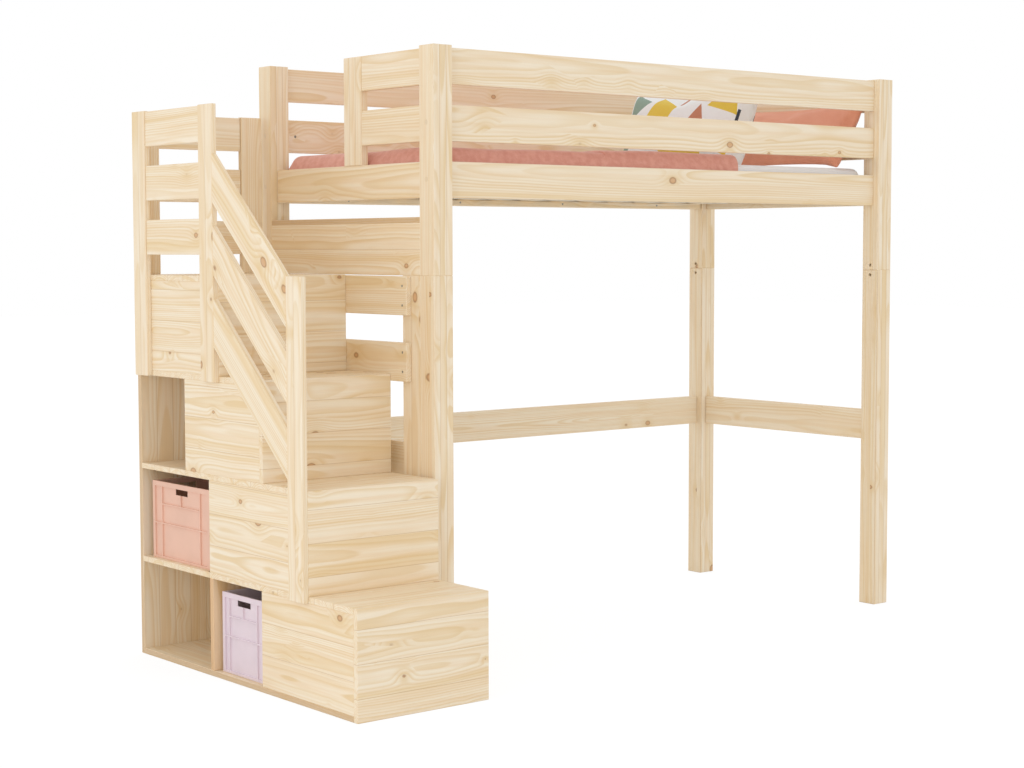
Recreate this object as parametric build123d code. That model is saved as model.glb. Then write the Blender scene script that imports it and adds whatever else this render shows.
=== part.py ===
from build123d import *
import os
from math import cos, pi, radians, sin, sqrt, tan

os.makedirs("parts", exist_ok=True)

# A child's loft bed in pine with a storage staircase, guards, bedding and two crates.
# Sizes are in millimetres. X runs along the bed, Y from the room to the wall, Z up.
# Everything is laid out from the outer corner of the front left leg on the floor, and
# moved at the end so that the origin is the middle of the whole outline, on the floor.

# Bed frame
MATTRESS_LENGTH = 2000.0
MATTRESS_WIDTH = 886.0
MATTRESS_THICKNESS = 98.0
MATTRESS_PLAY = 3.0
MATTRESS_CORNER_GAP = 2.0
MATTRESS_EDGE = 9.0
POST = 72.0
POST_RISE = 5.0
RAIL_THICKNESS = 22.0
RAIL_HEIGHT = 110.0
RAIL_GAP = 61.5
LOWER_RAIL_BOTTOM = 611.0
GUARD_STUB_WIDTH = 97.0
GUARD_STUB_THICKNESS = 26.0
GUARD_STUB_REACH = 341.0
ENTRY_PANEL_HEIGHT = 160.0
ENTRY_GAP = 58.0
SILL_DEPTH = 72.0
EDGE_EASE = 1.5

# Slatted base
BEARER = 20.0
BEARER_RISE = 2.0
BEARER_END_PLAY = 2.0
SLAT_COUNT = 14
SLAT_WIDTH = 68.0
SLAT_THICKNESS = 15.0
SLAT_END_PLAY = 3.0
STRAP_WIDTH = 20.0
STRAP_THICKNESS = 1.5
STRAP_INSET = 150.0

# Staircase, all of one board thickness
BOARD = 18.0
PLATFORM_HEIGHT = 1240.0
STEP_COUNT = 4
TREAD_DEPTH = 243.5
PLATFORM_DEPTH = 516.5
UNIT_WIDTH = 467.0
UNIT_WALL_GAP = 24.0
LARGE_CUBBY = 427.0
SMALL_CUBBY = 284.0

# Guards of the staircase
GUARD_PLANK = 80.0
GUARD_RISE = 2.5
GUARD_BOARD_SETBACK = 4.0
SIDE_BOARD_COUNT = 3
DIAGONAL_COUNT = 3
DIAGONAL_ANGLE = 42.0
DIAGONAL_PITCH = 219.0
DIAGONAL_RISE = 4.0
INNER_UPRIGHT_WIDTH = 90.0
INNER_UPRIGHT_THICKNESS = 25.0
INNER_BOARD_HEIGHT = 120.0
INNER_BOARD_PITCH = 204.0
INNER_BOARD_DROP = 2.0
INNER_BOARD_END = 46.0

# Joints and fasteners
FASTENER_SIDES = 8
TONGUE_LENGTH = 18.0
TONGUE_SHOULDER = 14.0
PLANK_TONGUE_LENGTH = 12.0
JOINT_CLEARANCE = 0.3
BOLT_RADIUS = 3.0
BOLT_HEAD_RADIUS = 6.5
BOLT_HEAD_LENGTH = 6.0
BOLT_REACH = 52.0
CAP_RADIUS = 8.0
CAP_THICKNESS = 2.5
NUT_RADIUS = 5.0
NUT_LENGTH = 16.0
NUT_REACH = 42.0
STUD_RADIUS = 4.0
STUD_LENGTH = 90.0
STUD_NUT_RADIUS = 6.0
STUD_NUT_LENGTH = 24.0
STUD_NUT_OFFSET = 18.0
SCREW_RADIUS = 2.0
SCREW_HEAD_RADIUS = 4.0
SCREW_HEAD_LENGTH = 2.5
BOARD_SCREW_LENGTH = 38.0
PANEL_SCREW_LENGTH = 30.0
BEARER_SCREW_LENGTH = 36.0
SCREW_SPREAD = 60.0
BEARER_SCREW_COUNT = 4
DOWEL_RADIUS = 4.0
DOWEL_LENGTH = 60.0
DOWEL_SPACING = 40.0

# Bedding
SOFT_GAP = 0.3
DUVET_LENGTH = 1330.0
DUVET_SIDE_PLAY = 8.0
DUVET_THICKNESS = 32.0
DUVET_FOLD_LENGTH = 210.0
DUVET_FOLD_THICKNESS = 17.0
PILLOW_WIDTH = 640.0
PILLOW_HEIGHT = 310.0
PILLOW_THICKNESS = 150.0
PILLOW_DRAW_IN = 16.0
PILLOW_END_THICKNESS = 18.0
PILLOW_SPANS = 10
PILLOW_FACE_STRIPS = 6
PILLOW_LEAN = 16.0
PILLOW_FROM_HEAD = 400.0
PILLOW_OFF_CENTRE = 32.0
HEAD_PILLOW_WIDTH = 660.0
HEAD_PILLOW_HEIGHT = 290.0
HEAD_PILLOW_THICKNESS = 140.0
HEAD_PILLOW_LEAN = 30.0
HEAD_PILLOW_SIDE_GAP = 28.0

# Crates
CRATE_LONG = 360.0
CRATE_SHORT = 240.0
CRATE_HEIGHT = 250.0
CRATE_WALL = 2.5
CRATE_RIB_DEPTH = 5.0
CRATE_RIB = 4.0
CRATE_RIM = 16.0
CRATE_CORNER = 14.0
CRATE_FLOOR = 4.0
CRATE_INSET = 20.0
HANDLE_LENGTH = 76.0
HANDLE_HEIGHT = 20.0

# Sizes that follow
RAIL_SETBACK = (POST - RAIL_THICKNESS) / 2
BED_LENGTH = MATTRESS_LENGTH + 2 * (MATTRESS_PLAY + RAIL_SETBACK + RAIL_THICKNESS)
BED_WIDTH = MATTRESS_WIDTH + 2 * (MATTRESS_PLAY + RAIL_SETBACK + RAIL_THICKNESS)
RAIL_INNER = RAIL_SETBACK + RAIL_THICKNESS
RAIL_PITCH = RAIL_HEIGHT + RAIL_GAP
SIDE_RAIL_BOTTOM = PLATFORM_HEIGHT + ENTRY_PANEL_HEIGHT + BOARD + ENTRY_GAP
MID_RAIL_BOTTOM = SIDE_RAIL_BOTTOM + RAIL_PITCH
TOP_RAIL_BOTTOM = MID_RAIL_BOTTOM + RAIL_PITCH
POST_HEIGHT = TOP_RAIL_BOTTOM + RAIL_HEIGHT + POST_RISE
BEARER_TOP = SIDE_RAIL_BOTTOM + BEARER_RISE + BEARER
SLAT_TOP = BEARER_TOP + SLAT_THICKNESS
MATTRESS_BOTTOM = SLAT_TOP + SOFT_GAP
MATTRESS_TOP = MATTRESS_BOTTOM + MATTRESS_THICKNESS
RISE = (PLATFORM_HEIGHT - BOARD) / STEP_COUNT
UNIT_INSIDE = -BOARD
UNIT_OUTSIDE = UNIT_INSIDE - UNIT_WIDTH
GUARD_OUTSIDE = UNIT_OUTSIDE - BOARD
UNIT_BACK = BED_WIDTH - UNIT_WALL_GAP
CUBBY_BACK = UNIT_BACK - BOARD
PLATFORM_FRONT = UNIT_BACK - PLATFORM_DEPTH
UNIT_FRONT = PLATFORM_FRONT - (STEP_COUNT - 1) * TREAD_DEPTH
LARGE_CUBBY_FRONT = CUBBY_BACK - LARGE_CUBBY
LEFT_POST = (0, POST)
RIGHT_POST = (BED_LENGTH - POST, BED_LENGTH)
FRONT_POST = (0, POST)
BACK_POST = (BED_WIDTH - POST, BED_WIDTH)
BETWEEN_POSTS_X = (POST, BED_LENGTH - POST)
BETWEEN_POSTS_Y = (POST, BED_WIDTH - POST)


def block(x, y, z):
    """A plain block between a low and a high value on each axis."""
    size = Box(x[1] - x[0], y[1] - y[0], z[1] - z[0], align=(Align.MIN, Align.MIN, Align.MIN))
    return Pos(x[0], y[0], z[0]) * size


def board(x, y, z):
    """A planed board with all its edges eased."""
    return chamfer(block(x, y, z).edges(), EDGE_EASE)


def ring(radius, centre, direction):
    """The eight-sided outline that stands in for a fastener's circle."""
    return Plane(origin=centre, z_dir=direction) * RegularPolygon(radius, FASTENER_SIDES)


def rod(radius, start, end):
    """A fastener's shank, or the hole for one, from one point to another."""
    direction = Vector(end) - Vector(start)
    return extrude(ring(radius, start, direction), direction.length)


def span(low, length):
    """The low and high value of a stretch."""
    return (low, low + length)


def grown(pair, margin):
    """A stretch made longer at both ends."""
    return (pair[0] - margin, pair[1] + margin)


def tongue(x, y, z, along, reach, margin=0.0):
    """The bar whose two ends are a board's stub tongues, with an optional clearance around it."""
    ranges = [x, y, z]
    lengths = [high - low for low, high in ranges]
    for axis, length in enumerate(lengths):
        if axis == along:
            ranges[axis] = grown(ranges[axis], reach + margin)
        elif length == min(lengths):
            ranges[axis] = grown(ranges[axis], margin - length / 4)
        else:
            ranges[axis] = grown(ranges[axis], margin - TONGUE_SHOULDER)
    return block(*ranges)


sockets = []
holes = []


def tongued(x, y, z, along, reach=TONGUE_LENGTH):
    """A board whose two ends carry stub tongues, and the sockets that take them."""
    sockets.append(tongue(x, y, z, along, reach, JOINT_CLEARANCE))
    return board(x, y, z) + tongue(x, y, z, along, reach)


def meet(a, b):
    """Whether the boxes around two shapes overlap."""
    a, b = a.bounding_box(), b.bounding_box()
    return all(low < high for low, high in [*zip(a.min, b.max), *zip(b.min, a.max)])


def relieved(piece, cutters):
    """A piece less every cutter that reaches it."""
    near = [cutter for cutter in cutters if meet(piece, cutter)]
    return piece - near if near else piece


def grouped(pieces):
    """Like pieces that share a node, each still its own solid."""
    return Compound([solid for piece in pieces for solid in piece.solids()])


# Posts, each a lower leg and an upper post that meet at platform height.
legs = []
posts = {}
for depth_name, depth in (("front", FRONT_POST), ("back", BACK_POST)):
    for side_name, side in (("left", LEFT_POST), ("right", RIGHT_POST)):
        legs.append(board(side, depth, (0, PLATFORM_HEIGHT)))
        posts[f"post_{depth_name}_{side_name}"] = board(side, depth, (PLATFORM_HEIGHT, POST_HEIGHT))

# Rails of the bed, centred in the posts.
RAIL_LEVELS = {"top": TOP_RAIL_BOTTOM, "mid": MID_RAIL_BOTTOM, "side": SIDE_RAIL_BOTTOM}
FRONT_RAIL = span(RAIL_SETBACK, RAIL_THICKNESS)
BACK_RAIL = (BED_WIDTH - RAIL_INNER, BED_WIDTH - RAIL_SETBACK)
LEFT_RAIL = span(RAIL_SETBACK, RAIL_THICKNESS)
RIGHT_RAIL = (BED_LENGTH - RAIL_INNER, BED_LENGTH - RAIL_SETBACK)
LOWER_RAIL = span(LOWER_RAIL_BOTTOM, RAIL_HEIGHT)
rails = {}
for level, bottom in RAIL_LEVELS.items():
    height = span(bottom, RAIL_HEIGHT)
    rails[f"front_{level}_rail"] = tongued(BETWEEN_POSTS_X, FRONT_RAIL, height, 0)
    rails[f"back_{level}_rail"] = tongued(BETWEEN_POSTS_X, BACK_RAIL, height, 0)
    rails[f"right_{level}_rail"] = tongued(RIGHT_RAIL, BETWEEN_POSTS_Y, height, 1)
rails["back_lower_rail"] = tongued(BETWEEN_POSTS_X, BACK_RAIL, LOWER_RAIL, 0)
rails["right_lower_rail"] = tongued(RIGHT_RAIL, BETWEEN_POSTS_Y, LOWER_RAIL, 1)
rails["left_lower_rail"] = tongued(LEFT_RAIL, BETWEEN_POSTS_Y, LOWER_RAIL, 1)
rails["left_side_rail"] = tongued(LEFT_RAIL, BETWEEN_POSTS_Y, span(SIDE_RAIL_BOTTOM, RAIL_HEIGHT), 1)

# Short guard at the left end: an upright tenoned into the side rail, and two rails from it
# back to the front post. The rest of the left end is the way in.
STUB_X = grown(LEFT_RAIL, (GUARD_STUB_THICKNESS - RAIL_THICKNESS) / 2)
STUB_Y = span(POST + GUARD_STUB_REACH, GUARD_STUB_WIDTH)
STUB_Z = (SIDE_RAIL_BOTTOM + RAIL_HEIGHT, TOP_RAIL_BOTTOM + RAIL_HEIGHT)
STUB_RAIL_Y = (POST, STUB_Y[0])
for level in ("top", "mid"):
    height = span(RAIL_LEVELS[level], RAIL_HEIGHT)
    rails[f"left_guard_{level}_rail"] = tongued(LEFT_RAIL, STUB_RAIL_Y, height, 1)
tenon_x = grown(LEFT_RAIL, -RAIL_THICKNESS / 4)
tenon_y = grown(STUB_Y, -TONGUE_SHOULDER)
tenon_foot = STUB_Z[0] - TONGUE_LENGTH
stub_tenon = block(tenon_x, tenon_y, (tenon_foot, STUB_Z[0] + TONGUE_LENGTH))
stub_socket = block(*(grown(pair, JOINT_CLEARANCE) for pair in (tenon_x, tenon_y, (tenon_foot, STUB_Z[0]))))
rails["left_guard_upright"] = relieved(board(STUB_X, STUB_Y, STUB_Z), sockets) + stub_tenon
rails["left_side_rail"] -= stub_socket

# Way in: a panel between the left posts, above the platform, with a sill on it.
ENTRY_Z = span(PLATFORM_HEIGHT, ENTRY_PANEL_HEIGHT)
rails["entry_panel"] = tongued((0, BOARD), BETWEEN_POSTS_Y, ENTRY_Z, 1)
rails["entry_sill"] = tongued((0, SILL_DEPTH), BETWEEN_POSTS_Y, span(ENTRY_Z[1], BOARD), 1)

# Inner guard, between the staircase and the bed.
INNER_UPRIGHT_Y = span(POST, INNER_UPRIGHT_WIDTH)
INNER_UPRIGHT_Z = (LOWER_RAIL_BOTTOM, PLATFORM_HEIGHT)
INNER_BOARD_Y = (POST + INNER_BOARD_END, UNIT_BACK - BOARD / 2)
INNER_BOARD_TOP = PLATFORM_HEIGHT - INNER_BOARD_DROP
inner_guard = {
    "inner_guard_upright": board((0, INNER_UPRIGHT_THICKNESS), INNER_UPRIGHT_Y, INNER_UPRIGHT_Z),
}
inner_board_heights = []
for index, name in enumerate(("upper", "lower")):
    top = INNER_BOARD_TOP - index * INNER_BOARD_PITCH
    height = (top - INNER_BOARD_HEIGHT, top)
    inner_board_heights.append(height)
    inner_guard[f"inner_guard_board_{name}"] = board((-BOARD, 0), INNER_BOARD_Y, height)

# Slatted base: two bearers on the side rails, the slats, and two straps under them.
BEARER_X = grown(BETWEEN_POSTS_X, -BEARER_END_PLAY)
BEARER_Z = (BEARER_TOP - BEARER, BEARER_TOP)
FRONT_BEARER = span(RAIL_INNER, BEARER)
BACK_BEARER = (BED_WIDTH - RAIL_INNER - BEARER, BED_WIDTH - RAIL_INNER)
SLAT_Y = (RAIL_INNER + SLAT_END_PLAY, BED_WIDTH - RAIL_INNER - SLAT_END_PLAY)
slat_pitch = (BEARER_X[1] - BEARER_X[0] - SLAT_WIDTH) / (SLAT_COUNT - 1)
slats = [
    board(span(BEARER_X[0] + index * slat_pitch, SLAT_WIDTH), SLAT_Y, (BEARER_TOP, SLAT_TOP))
    for index in range(SLAT_COUNT)
]
bearers = [board(BEARER_X, y, BEARER_Z) for y in (FRONT_BEARER, BACK_BEARER)]
STRAP_Z = (BEARER_TOP - STRAP_THICKNESS, BEARER_TOP)
straps = [
    block(BEARER_X, span(y, STRAP_WIDTH), STRAP_Z)
    for y in (RAIL_INNER + STRAP_INSET, BED_WIDTH - RAIL_INNER - STRAP_INSET - STRAP_WIDTH)
]

# Staircase. Each riser stands on the tread below and covers the front edges of the side
# panels. Each tread runs on to the end panel as a shelf.
UNIT_X = (UNIT_OUTSIDE, UNIT_INSIDE)
OUTER_PANEL_X = span(UNIT_OUTSIDE, BOARD)
INNER_PANEL_X = (UNIT_INSIDE - BOARD, UNIT_INSIDE)
BEHIND_PANEL_X = (UNIT_OUTSIDE + BOARD, UNIT_INSIDE - BOARD)
LOWER_PANEL_BACK = LARGE_CUBBY_FRONT - BOARD - SMALL_CUBBY
PANEL_BACKS = [LOWER_PANEL_BACK, LARGE_CUBBY_FRONT, CUBBY_BACK - SMALL_CUBBY, CUBBY_BACK]
stairs = {"stair_base_board": board(UNIT_X, (UNIT_FRONT + BOARD, CUBBY_BACK), (0, BOARD))}
outer_panels = []
inner_panels = []
partitions = []
level_fronts = []
level_heights = []
for index in range(STEP_COUNT):
    front = UNIT_FRONT + index * TREAD_DEPTH
    floor = BOARD + index * RISE
    tread_top = floor + RISE
    inside = (floor, tread_top - BOARD)
    riser_foot = floor if index else 0
    last = index == STEP_COUNT - 1
    level_fronts.append(front + BOARD)
    level_heights.append(inside)
    tread_y = (front + BOARD, UNIT_BACK if last else CUBBY_BACK)
    tread_name = "stair_platform" if last else f"stair_tread_{index + 1}"
    stairs[tread_name] = board(UNIT_X, tread_y, (tread_top - BOARD, tread_top))
    stairs[f"stair_riser_{index + 1}"] = board(UNIT_X, span(front, BOARD), (riser_foot, tread_top))
    panel_back = PANEL_BACKS[index]
    outer_panels.append(board(OUTER_PANEL_X, (front + BOARD, panel_back), inside))
    inner_panels.append(board(INNER_PANEL_X, (front + BOARD, CUBBY_BACK), inside))
    if not last:
        partitions.append(board(BEHIND_PANEL_X, (panel_back - BOARD, panel_back), inside))
divider_y = (LARGE_CUBBY_FRONT - BOARD, LARGE_CUBBY_FRONT)
partitions.append(board((UNIT_OUTSIDE, UNIT_INSIDE - BOARD), divider_y, level_heights[0]))
stairs["stair_end_panel"] = board(UNIT_X, (CUBBY_BACK, UNIT_BACK), (0, PLATFORM_HEIGHT - BOARD))

# Outer guard of the staircase: three planks on the outer panels, level boards between the
# upper two and slanting boards between the lower two, whose ends are cut upright.
GUARD_X = (GUARD_OUTSIDE, UNIT_OUTSIDE)
GUARD_TOP = MID_RAIL_BOTTOM + RAIL_HEIGHT + GUARD_RISE
DIAGONAL_TOP = PLATFORM_HEIGHT + DIAGONAL_RISE
guard_foot = level_heights[2][1]
front_foot = level_heights[0][1]
GUARD_BACK_Y = (CUBBY_BACK - GUARD_PLANK, CUBBY_BACK)
GUARD_MIDDLE_Y = span(PLATFORM_FRONT, GUARD_PLANK)
GUARD_FRONT_Y = span(UNIT_FRONT + TREAD_DEPTH, GUARD_PLANK)
guard_planks = {
    "guard_plank_back": board(GUARD_X, GUARD_BACK_Y, (guard_foot, GUARD_TOP)),
    "guard_plank_middle": board(GUARD_X, GUARD_MIDDLE_Y, (guard_foot, GUARD_TOP)),
    "guard_plank_front": board(GUARD_X, GUARD_FRONT_Y, (front_foot, DIAGONAL_TOP)),
}
side_board_x = span(GUARD_OUTSIDE + GUARD_BOARD_SETBACK, BOARD)
side_board_y = (GUARD_MIDDLE_Y[1], GUARD_BACK_Y[0])
side_board_heights = [
    span(MID_RAIL_BOTTOM - index * RAIL_PITCH, RAIL_HEIGHT) for index in range(SIDE_BOARD_COUNT)
]
side_boards = [
    tongued(side_board_x, side_board_y, height, 1, PLANK_TONGUE_LENGTH) for height in side_board_heights
]


def slanting(x, y, top, height):
    """A slanting board with upright ends, its upper edge at the given height at its front end."""
    run = y[1] - y[0]
    climb = run * tan(radians(DIAGONAL_ANGLE))
    corners = [(y[0], top), (y[1], top + climb), (y[1], top + climb - height), (y[0], top - height)]
    side = Plane.YZ * Polygon(*corners, align=None)
    return Pos(x[0], 0, 0) * extrude(side, x[1] - x[0], dir=(1, 0, 0))


def slanting_tongue(x, y, top, height, reach, margin=0.0):
    """The bar whose ends are a slanting board's tongues."""
    drop = TONGUE_SHOULDER / cos(radians(DIAGONAL_ANGLE)) - margin
    ends = grown(y, reach + margin)
    lead = (y[0] - ends[0]) * tan(radians(DIAGONAL_ANGLE))
    return slanting(grown(x, margin - BOARD / 4), ends, top - drop - lead, height - 2 * drop)


DIAGONAL_Y = (GUARD_FRONT_Y[1], GUARD_MIDDLE_Y[0])
diagonal_height = RAIL_HEIGHT / cos(radians(DIAGONAL_ANGLE))
diagonals = []
for index in range(DIAGONAL_COUNT):
    place = (GUARD_X, DIAGONAL_Y, DIAGONAL_TOP - index * DIAGONAL_PITCH, diagonal_height)
    plain = slanting(*place)
    sockets.append(slanting_tongue(*place, PLANK_TONGUE_LENGTH, JOINT_CLEARANCE))
    diagonals.append(chamfer(plain.edges(), EDGE_EASE) + slanting_tongue(*place, PLANK_TONGUE_LENGTH))

# Guard at the back of the platform.
PLATFORM_GUARD_Y = (CUBBY_BACK, UNIT_BACK)
platform_guard_z = (PLATFORM_HEIGHT, GUARD_TOP)
upright_outer_x = span(UNIT_OUTSIDE, GUARD_PLANK)
upright_inner_x = (UNIT_INSIDE - GUARD_PLANK, UNIT_INSIDE)
platform_uprights = [board(x, PLATFORM_GUARD_Y, platform_guard_z) for x in (upright_outer_x, upright_inner_x)]
platform_board_x = (upright_outer_x[1], upright_inner_x[0])
platform_board_y = span(CUBBY_BACK + GUARD_BOARD_SETBACK, BOARD)
platform_boards = [
    tongued(platform_board_x, platform_board_y, height, 0, PLANK_TONGUE_LENGTH)
    for height in side_board_heights
]

# Bolts along the bed, through the posts into the middle and side rails. Each has a cap over
# its head and a barrel nut in the rail, put in from the inner face.
bolts = []
caps = []
barrel_nuts = []
cap_seat = CAP_THICKNESS + JOINT_CLEARANCE
head_end = cap_seat + BOLT_HEAD_LENGTH
bolt_tip = POST + BOLT_REACH


def fit_bed_bolt(outer_x, heading, y, inward, z):
    """Put in one bolt with its cap and nut, and cut their holes, from a post's outer face."""
    def at(depth):
        return (outer_x + heading * depth, y, z)

    nut_x = at(POST + NUT_REACH)[0]
    bolt_head = rod(BOLT_HEAD_RADIUS, at(cap_seat), at(head_end))
    bolts.append(bolt_head + rod(BOLT_RADIUS, at(head_end), at(bolt_tip)))
    caps.append(rod(CAP_RADIUS, at(0), at(CAP_THICKNESS)))
    nut = rod(NUT_RADIUS, (nut_x, y - NUT_LENGTH / 2, z), (nut_x, y + NUT_LENGTH / 2, z))
    bolt_way = rod(BOLT_RADIUS + JOINT_CLEARANCE, at(head_end), at(bolt_tip + BOLT_RADIUS))
    barrel_nuts.append(nut - bolt_way)
    holes.append(rod(CAP_RADIUS + JOINT_CLEARANCE, at(-EDGE_EASE), at(head_end)) + bolt_way)
    nut_floor = y - inward * (NUT_LENGTH / 2 + JOINT_CLEARANCE)
    nut_mouth = y + inward * RAIL_THICKNESS
    holes.append(rod(NUT_RADIUS + JOINT_CLEARANCE, (nut_x, nut_floor, z), (nut_x, nut_mouth, z)))


for outer_x, heading in ((0, 1), (BED_LENGTH, -1)):
    for y, inward in ((POST / 2, 1), (BED_WIDTH - POST / 2, -1)):
        for level in ("mid", "side"):
            fit_bed_bolt(outer_x, heading, y, inward, RAIL_LEVELS[level] + RAIL_HEIGHT / 2)

# Studs that join each lower leg to its upper post, with a barrel nut above and below the seam.
studs = []
for x, inward in ((POST / 2, 1), (BED_LENGTH - POST / 2, -1)):
    for y in (POST / 2, BED_WIDTH - POST / 2):
        low = (x, y, PLATFORM_HEIGHT - STUD_LENGTH / 2)
        high = (x, y, PLATFORM_HEIGHT + STUD_LENGTH / 2)
        studs.append(rod(STUD_RADIUS, low, high))
        way_low = (x, y, low[2] - STUD_RADIUS)
        way_high = (x, y, high[2] + STUD_RADIUS)
        stud_way = rod(STUD_RADIUS + JOINT_CLEARANCE, way_low, way_high)
        holes.append(stud_way)
        for z in (PLATFORM_HEIGHT - STUD_NUT_OFFSET, PLATFORM_HEIGHT + STUD_NUT_OFFSET):
            nut = rod(STUD_NUT_RADIUS, (x - STUD_NUT_LENGTH / 2, y, z), (x + STUD_NUT_LENGTH / 2, y, z))
            barrel_nuts.append(nut - stud_way)
            floor = x - inward * (STUD_NUT_LENGTH / 2 + JOINT_CLEARANCE)
            holes.append(rod(STUD_NUT_RADIUS + JOINT_CLEARANCE, (floor, y, z), (x + inward * POST, y, z)))

screws = []


def drive(head, direction, length):
    """Put in a countersunk screw, its head flush at a point, and cut its hole in what it passes."""
    along = Vector(direction)
    neck = Vector(head) + along * SCREW_HEAD_LENGTH
    tip = Vector(head) + along * length
    cone = loft([ring(SCREW_HEAD_RADIUS, head, along), ring(SCREW_RADIUS, neck, along)], ruled=True)
    screws.append(cone + rod(SCREW_RADIUS, neck, tip))
    wide_radius = SCREW_HEAD_RADIUS + JOINT_CLEARANCE
    way_radius = SCREW_RADIUS + JOINT_CLEARANCE
    seat = loft([ring(wide_radius, head, along), ring(way_radius, neck, along)], ruled=True)
    holes.append(seat + rod(way_radius, neck, tip + along * JOINT_CLEARANCE))


# Screws of the inner guard, into its upright and into the back left leg.
upright_screw_y = (INNER_BOARD_Y[0] + INNER_UPRIGHT_Y[1]) / 2
leg_screw_y = (BACK_POST[0] + INNER_BOARD_Y[1]) / 2
for height in inner_board_heights:
    middle = (height[0] + height[1]) / 2
    for z in (middle - SCREW_SPREAD / 2, middle + SCREW_SPREAD / 2):
        drive((-BOARD, upright_screw_y, z), (1, 0, 0), BOARD_SCREW_LENGTH)
        drive((-BOARD, leg_screw_y, z), (1, 0, 0), BOARD_SCREW_LENGTH)

# Screws from inside the staircase: out into the guard planks, and across into the inner guard.
upper_level = level_heights[3]
second_level = level_heights[1]
for y, level in ((GUARD_BACK_Y, upper_level), (GUARD_MIDDLE_Y, upper_level), (GUARD_FRONT_Y, second_level)):
    middle = (level[0] + level[1]) / 2
    for z in (middle - SCREW_SPREAD, middle + SCREW_SPREAD):
        drive((OUTER_PANEL_X[1], (y[0] + y[1]) / 2, z), (-1, 0, 0), PANEL_SCREW_LENGTH)
for height in inner_board_heights:
    tie_z = max((height[0] + height[1]) / 2, upper_level[0] + BOARD)
    drive((INNER_PANEL_X[0], (PLATFORM_FRONT + CUBBY_BACK) / 2, tie_z), (1, 0, 0), PANEL_SCREW_LENGTH)

# Screws of the slat bearers, into the side rails.
bearer_screw_z = BEARER_TOP - BEARER / 2
for index in range(BEARER_SCREW_COUNT):
    x = BEARER_X[0] + (index + 0.5) * (BEARER_X[1] - BEARER_X[0]) / BEARER_SCREW_COUNT
    drive((x, FRONT_BEARER[1], bearer_screw_z), (0, -1, 0), BEARER_SCREW_LENGTH)
    drive((x, BACK_BEARER[0], bearer_screw_z), (0, 1, 0), BEARER_SCREW_LENGTH)

# Dowels that stand the platform guard on the end panel, through the platform.
dowels = []
dowel_y = (CUBBY_BACK + UNIT_BACK) / 2
dowel_z = grown((PLATFORM_HEIGHT - BOARD / 2,) * 2, DOWEL_LENGTH / 2)
for x_range in (upright_outer_x, upright_inner_x):
    for x in ((x_range[0] + x_range[1] - DOWEL_SPACING) / 2, (x_range[0] + x_range[1] + DOWEL_SPACING) / 2):
        dowels.append(rod(DOWEL_RADIUS, (x, dowel_y, dowel_z[0]), (x, dowel_y, dowel_z[1])))
        way = grown(dowel_z, JOINT_CLEARANCE)
        holes.append(rod(DOWEL_RADIUS + JOINT_CLEARANCE, (x, dowel_y, way[0]), (x, dowel_y, way[1])))

# Mattress: a foam slab whose rounded corners clear the posts.
MATTRESS_X = grown((RAIL_INNER, BED_LENGTH - RAIL_INNER), -MATTRESS_PLAY)
MATTRESS_Y = grown((RAIL_INNER, BED_WIDTH - RAIL_INNER), -MATTRESS_PLAY)
mattress = block(MATTRESS_X, MATTRESS_Y, (MATTRESS_BOTTOM, MATTRESS_TOP))
post_intrusion = POST - MATTRESS_X[0]
mattress_corner = (post_intrusion * sqrt(2) + MATTRESS_CORNER_GAP) / (sqrt(2) - 1)
mattress = fillet(mattress.edges().filter_by(Axis.Z), mattress_corner)
mattress = chamfer(mattress.faces().sort_by(Axis.Z)[-1].edges(), MATTRESS_EDGE)
mattress = chamfer(mattress.faces().sort_by(Axis.Z)[0].edges(), MATTRESS_EDGE)

# Duvet: cross sections along the bed, thin at the rounded ends and thick at the fold.
DUVET_BASE = MATTRESS_TOP + SOFT_GAP
DUVET_X = span(MATTRESS_X[0], DUVET_LENGTH)
DUVET_Y = grown(MATTRESS_Y, -DUVET_SIDE_PLAY)
fold_x = DUVET_X[1] - DUVET_FOLD_LENGTH
fold_height = DUVET_THICKNESS + DUVET_FOLD_THICKNESS


def duvet_section(x, height, tuck):
    """One cross section of the duvet: flat below, with bulging sides and a low crown."""
    low, high = grown(DUVET_Y, -tuck)
    bulge = height / 6
    shoulder_z = DUVET_BASE + height * 0.88
    middle_z = DUVET_BASE + height / 2
    feet = [(x, low, DUVET_BASE), (x, high, DUVET_BASE)]
    shoulders = [(x, low + bulge, shoulder_z), (x, high - bulge, shoulder_z)]
    return Wire([
        Edge.make_line(*feet),
        Edge.make_three_point_arc(feet[1], (x, high + bulge, middle_z), shoulders[1]),
        Edge.make_three_point_arc(shoulders[1], (x, (low + high) / 2, DUVET_BASE + height), shoulders[0]),
        Edge.make_three_point_arc(shoulders[0], (x, low - bulge, middle_z), feet[0]),
    ])


# Each station: its place, its thickness, and how far its sides are tucked in.
post_tuck = POST - DUVET_Y[0] + DUVET_THICKNESS / 4
DUVET_STATIONS = (
    (DUVET_X[0], DUVET_THICKNESS * 0.35, post_tuck + 14.0),
    (POST + 2.0, DUVET_THICKNESS * 0.85, post_tuck),
    (POST + 50.0, DUVET_THICKNESS, 6.0),
    (fold_x - 12.0, DUVET_THICKNESS, 6.0),
    (fold_x + 8.0, fold_height * 0.94, 8.0),
    (fold_x + 40.0, fold_height, 6.0),
    (DUVET_X[1] - 34.0, fold_height, 6.0),
    (DUVET_X[1] - 8.0, fold_height * 0.8, 10.0),
    (DUVET_X[1], fold_height * 0.4, 18.0),
)
duvet = Solid.make_loft([duvet_section(*station) for station in DUVET_STATIONS], ruled=True)


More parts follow.
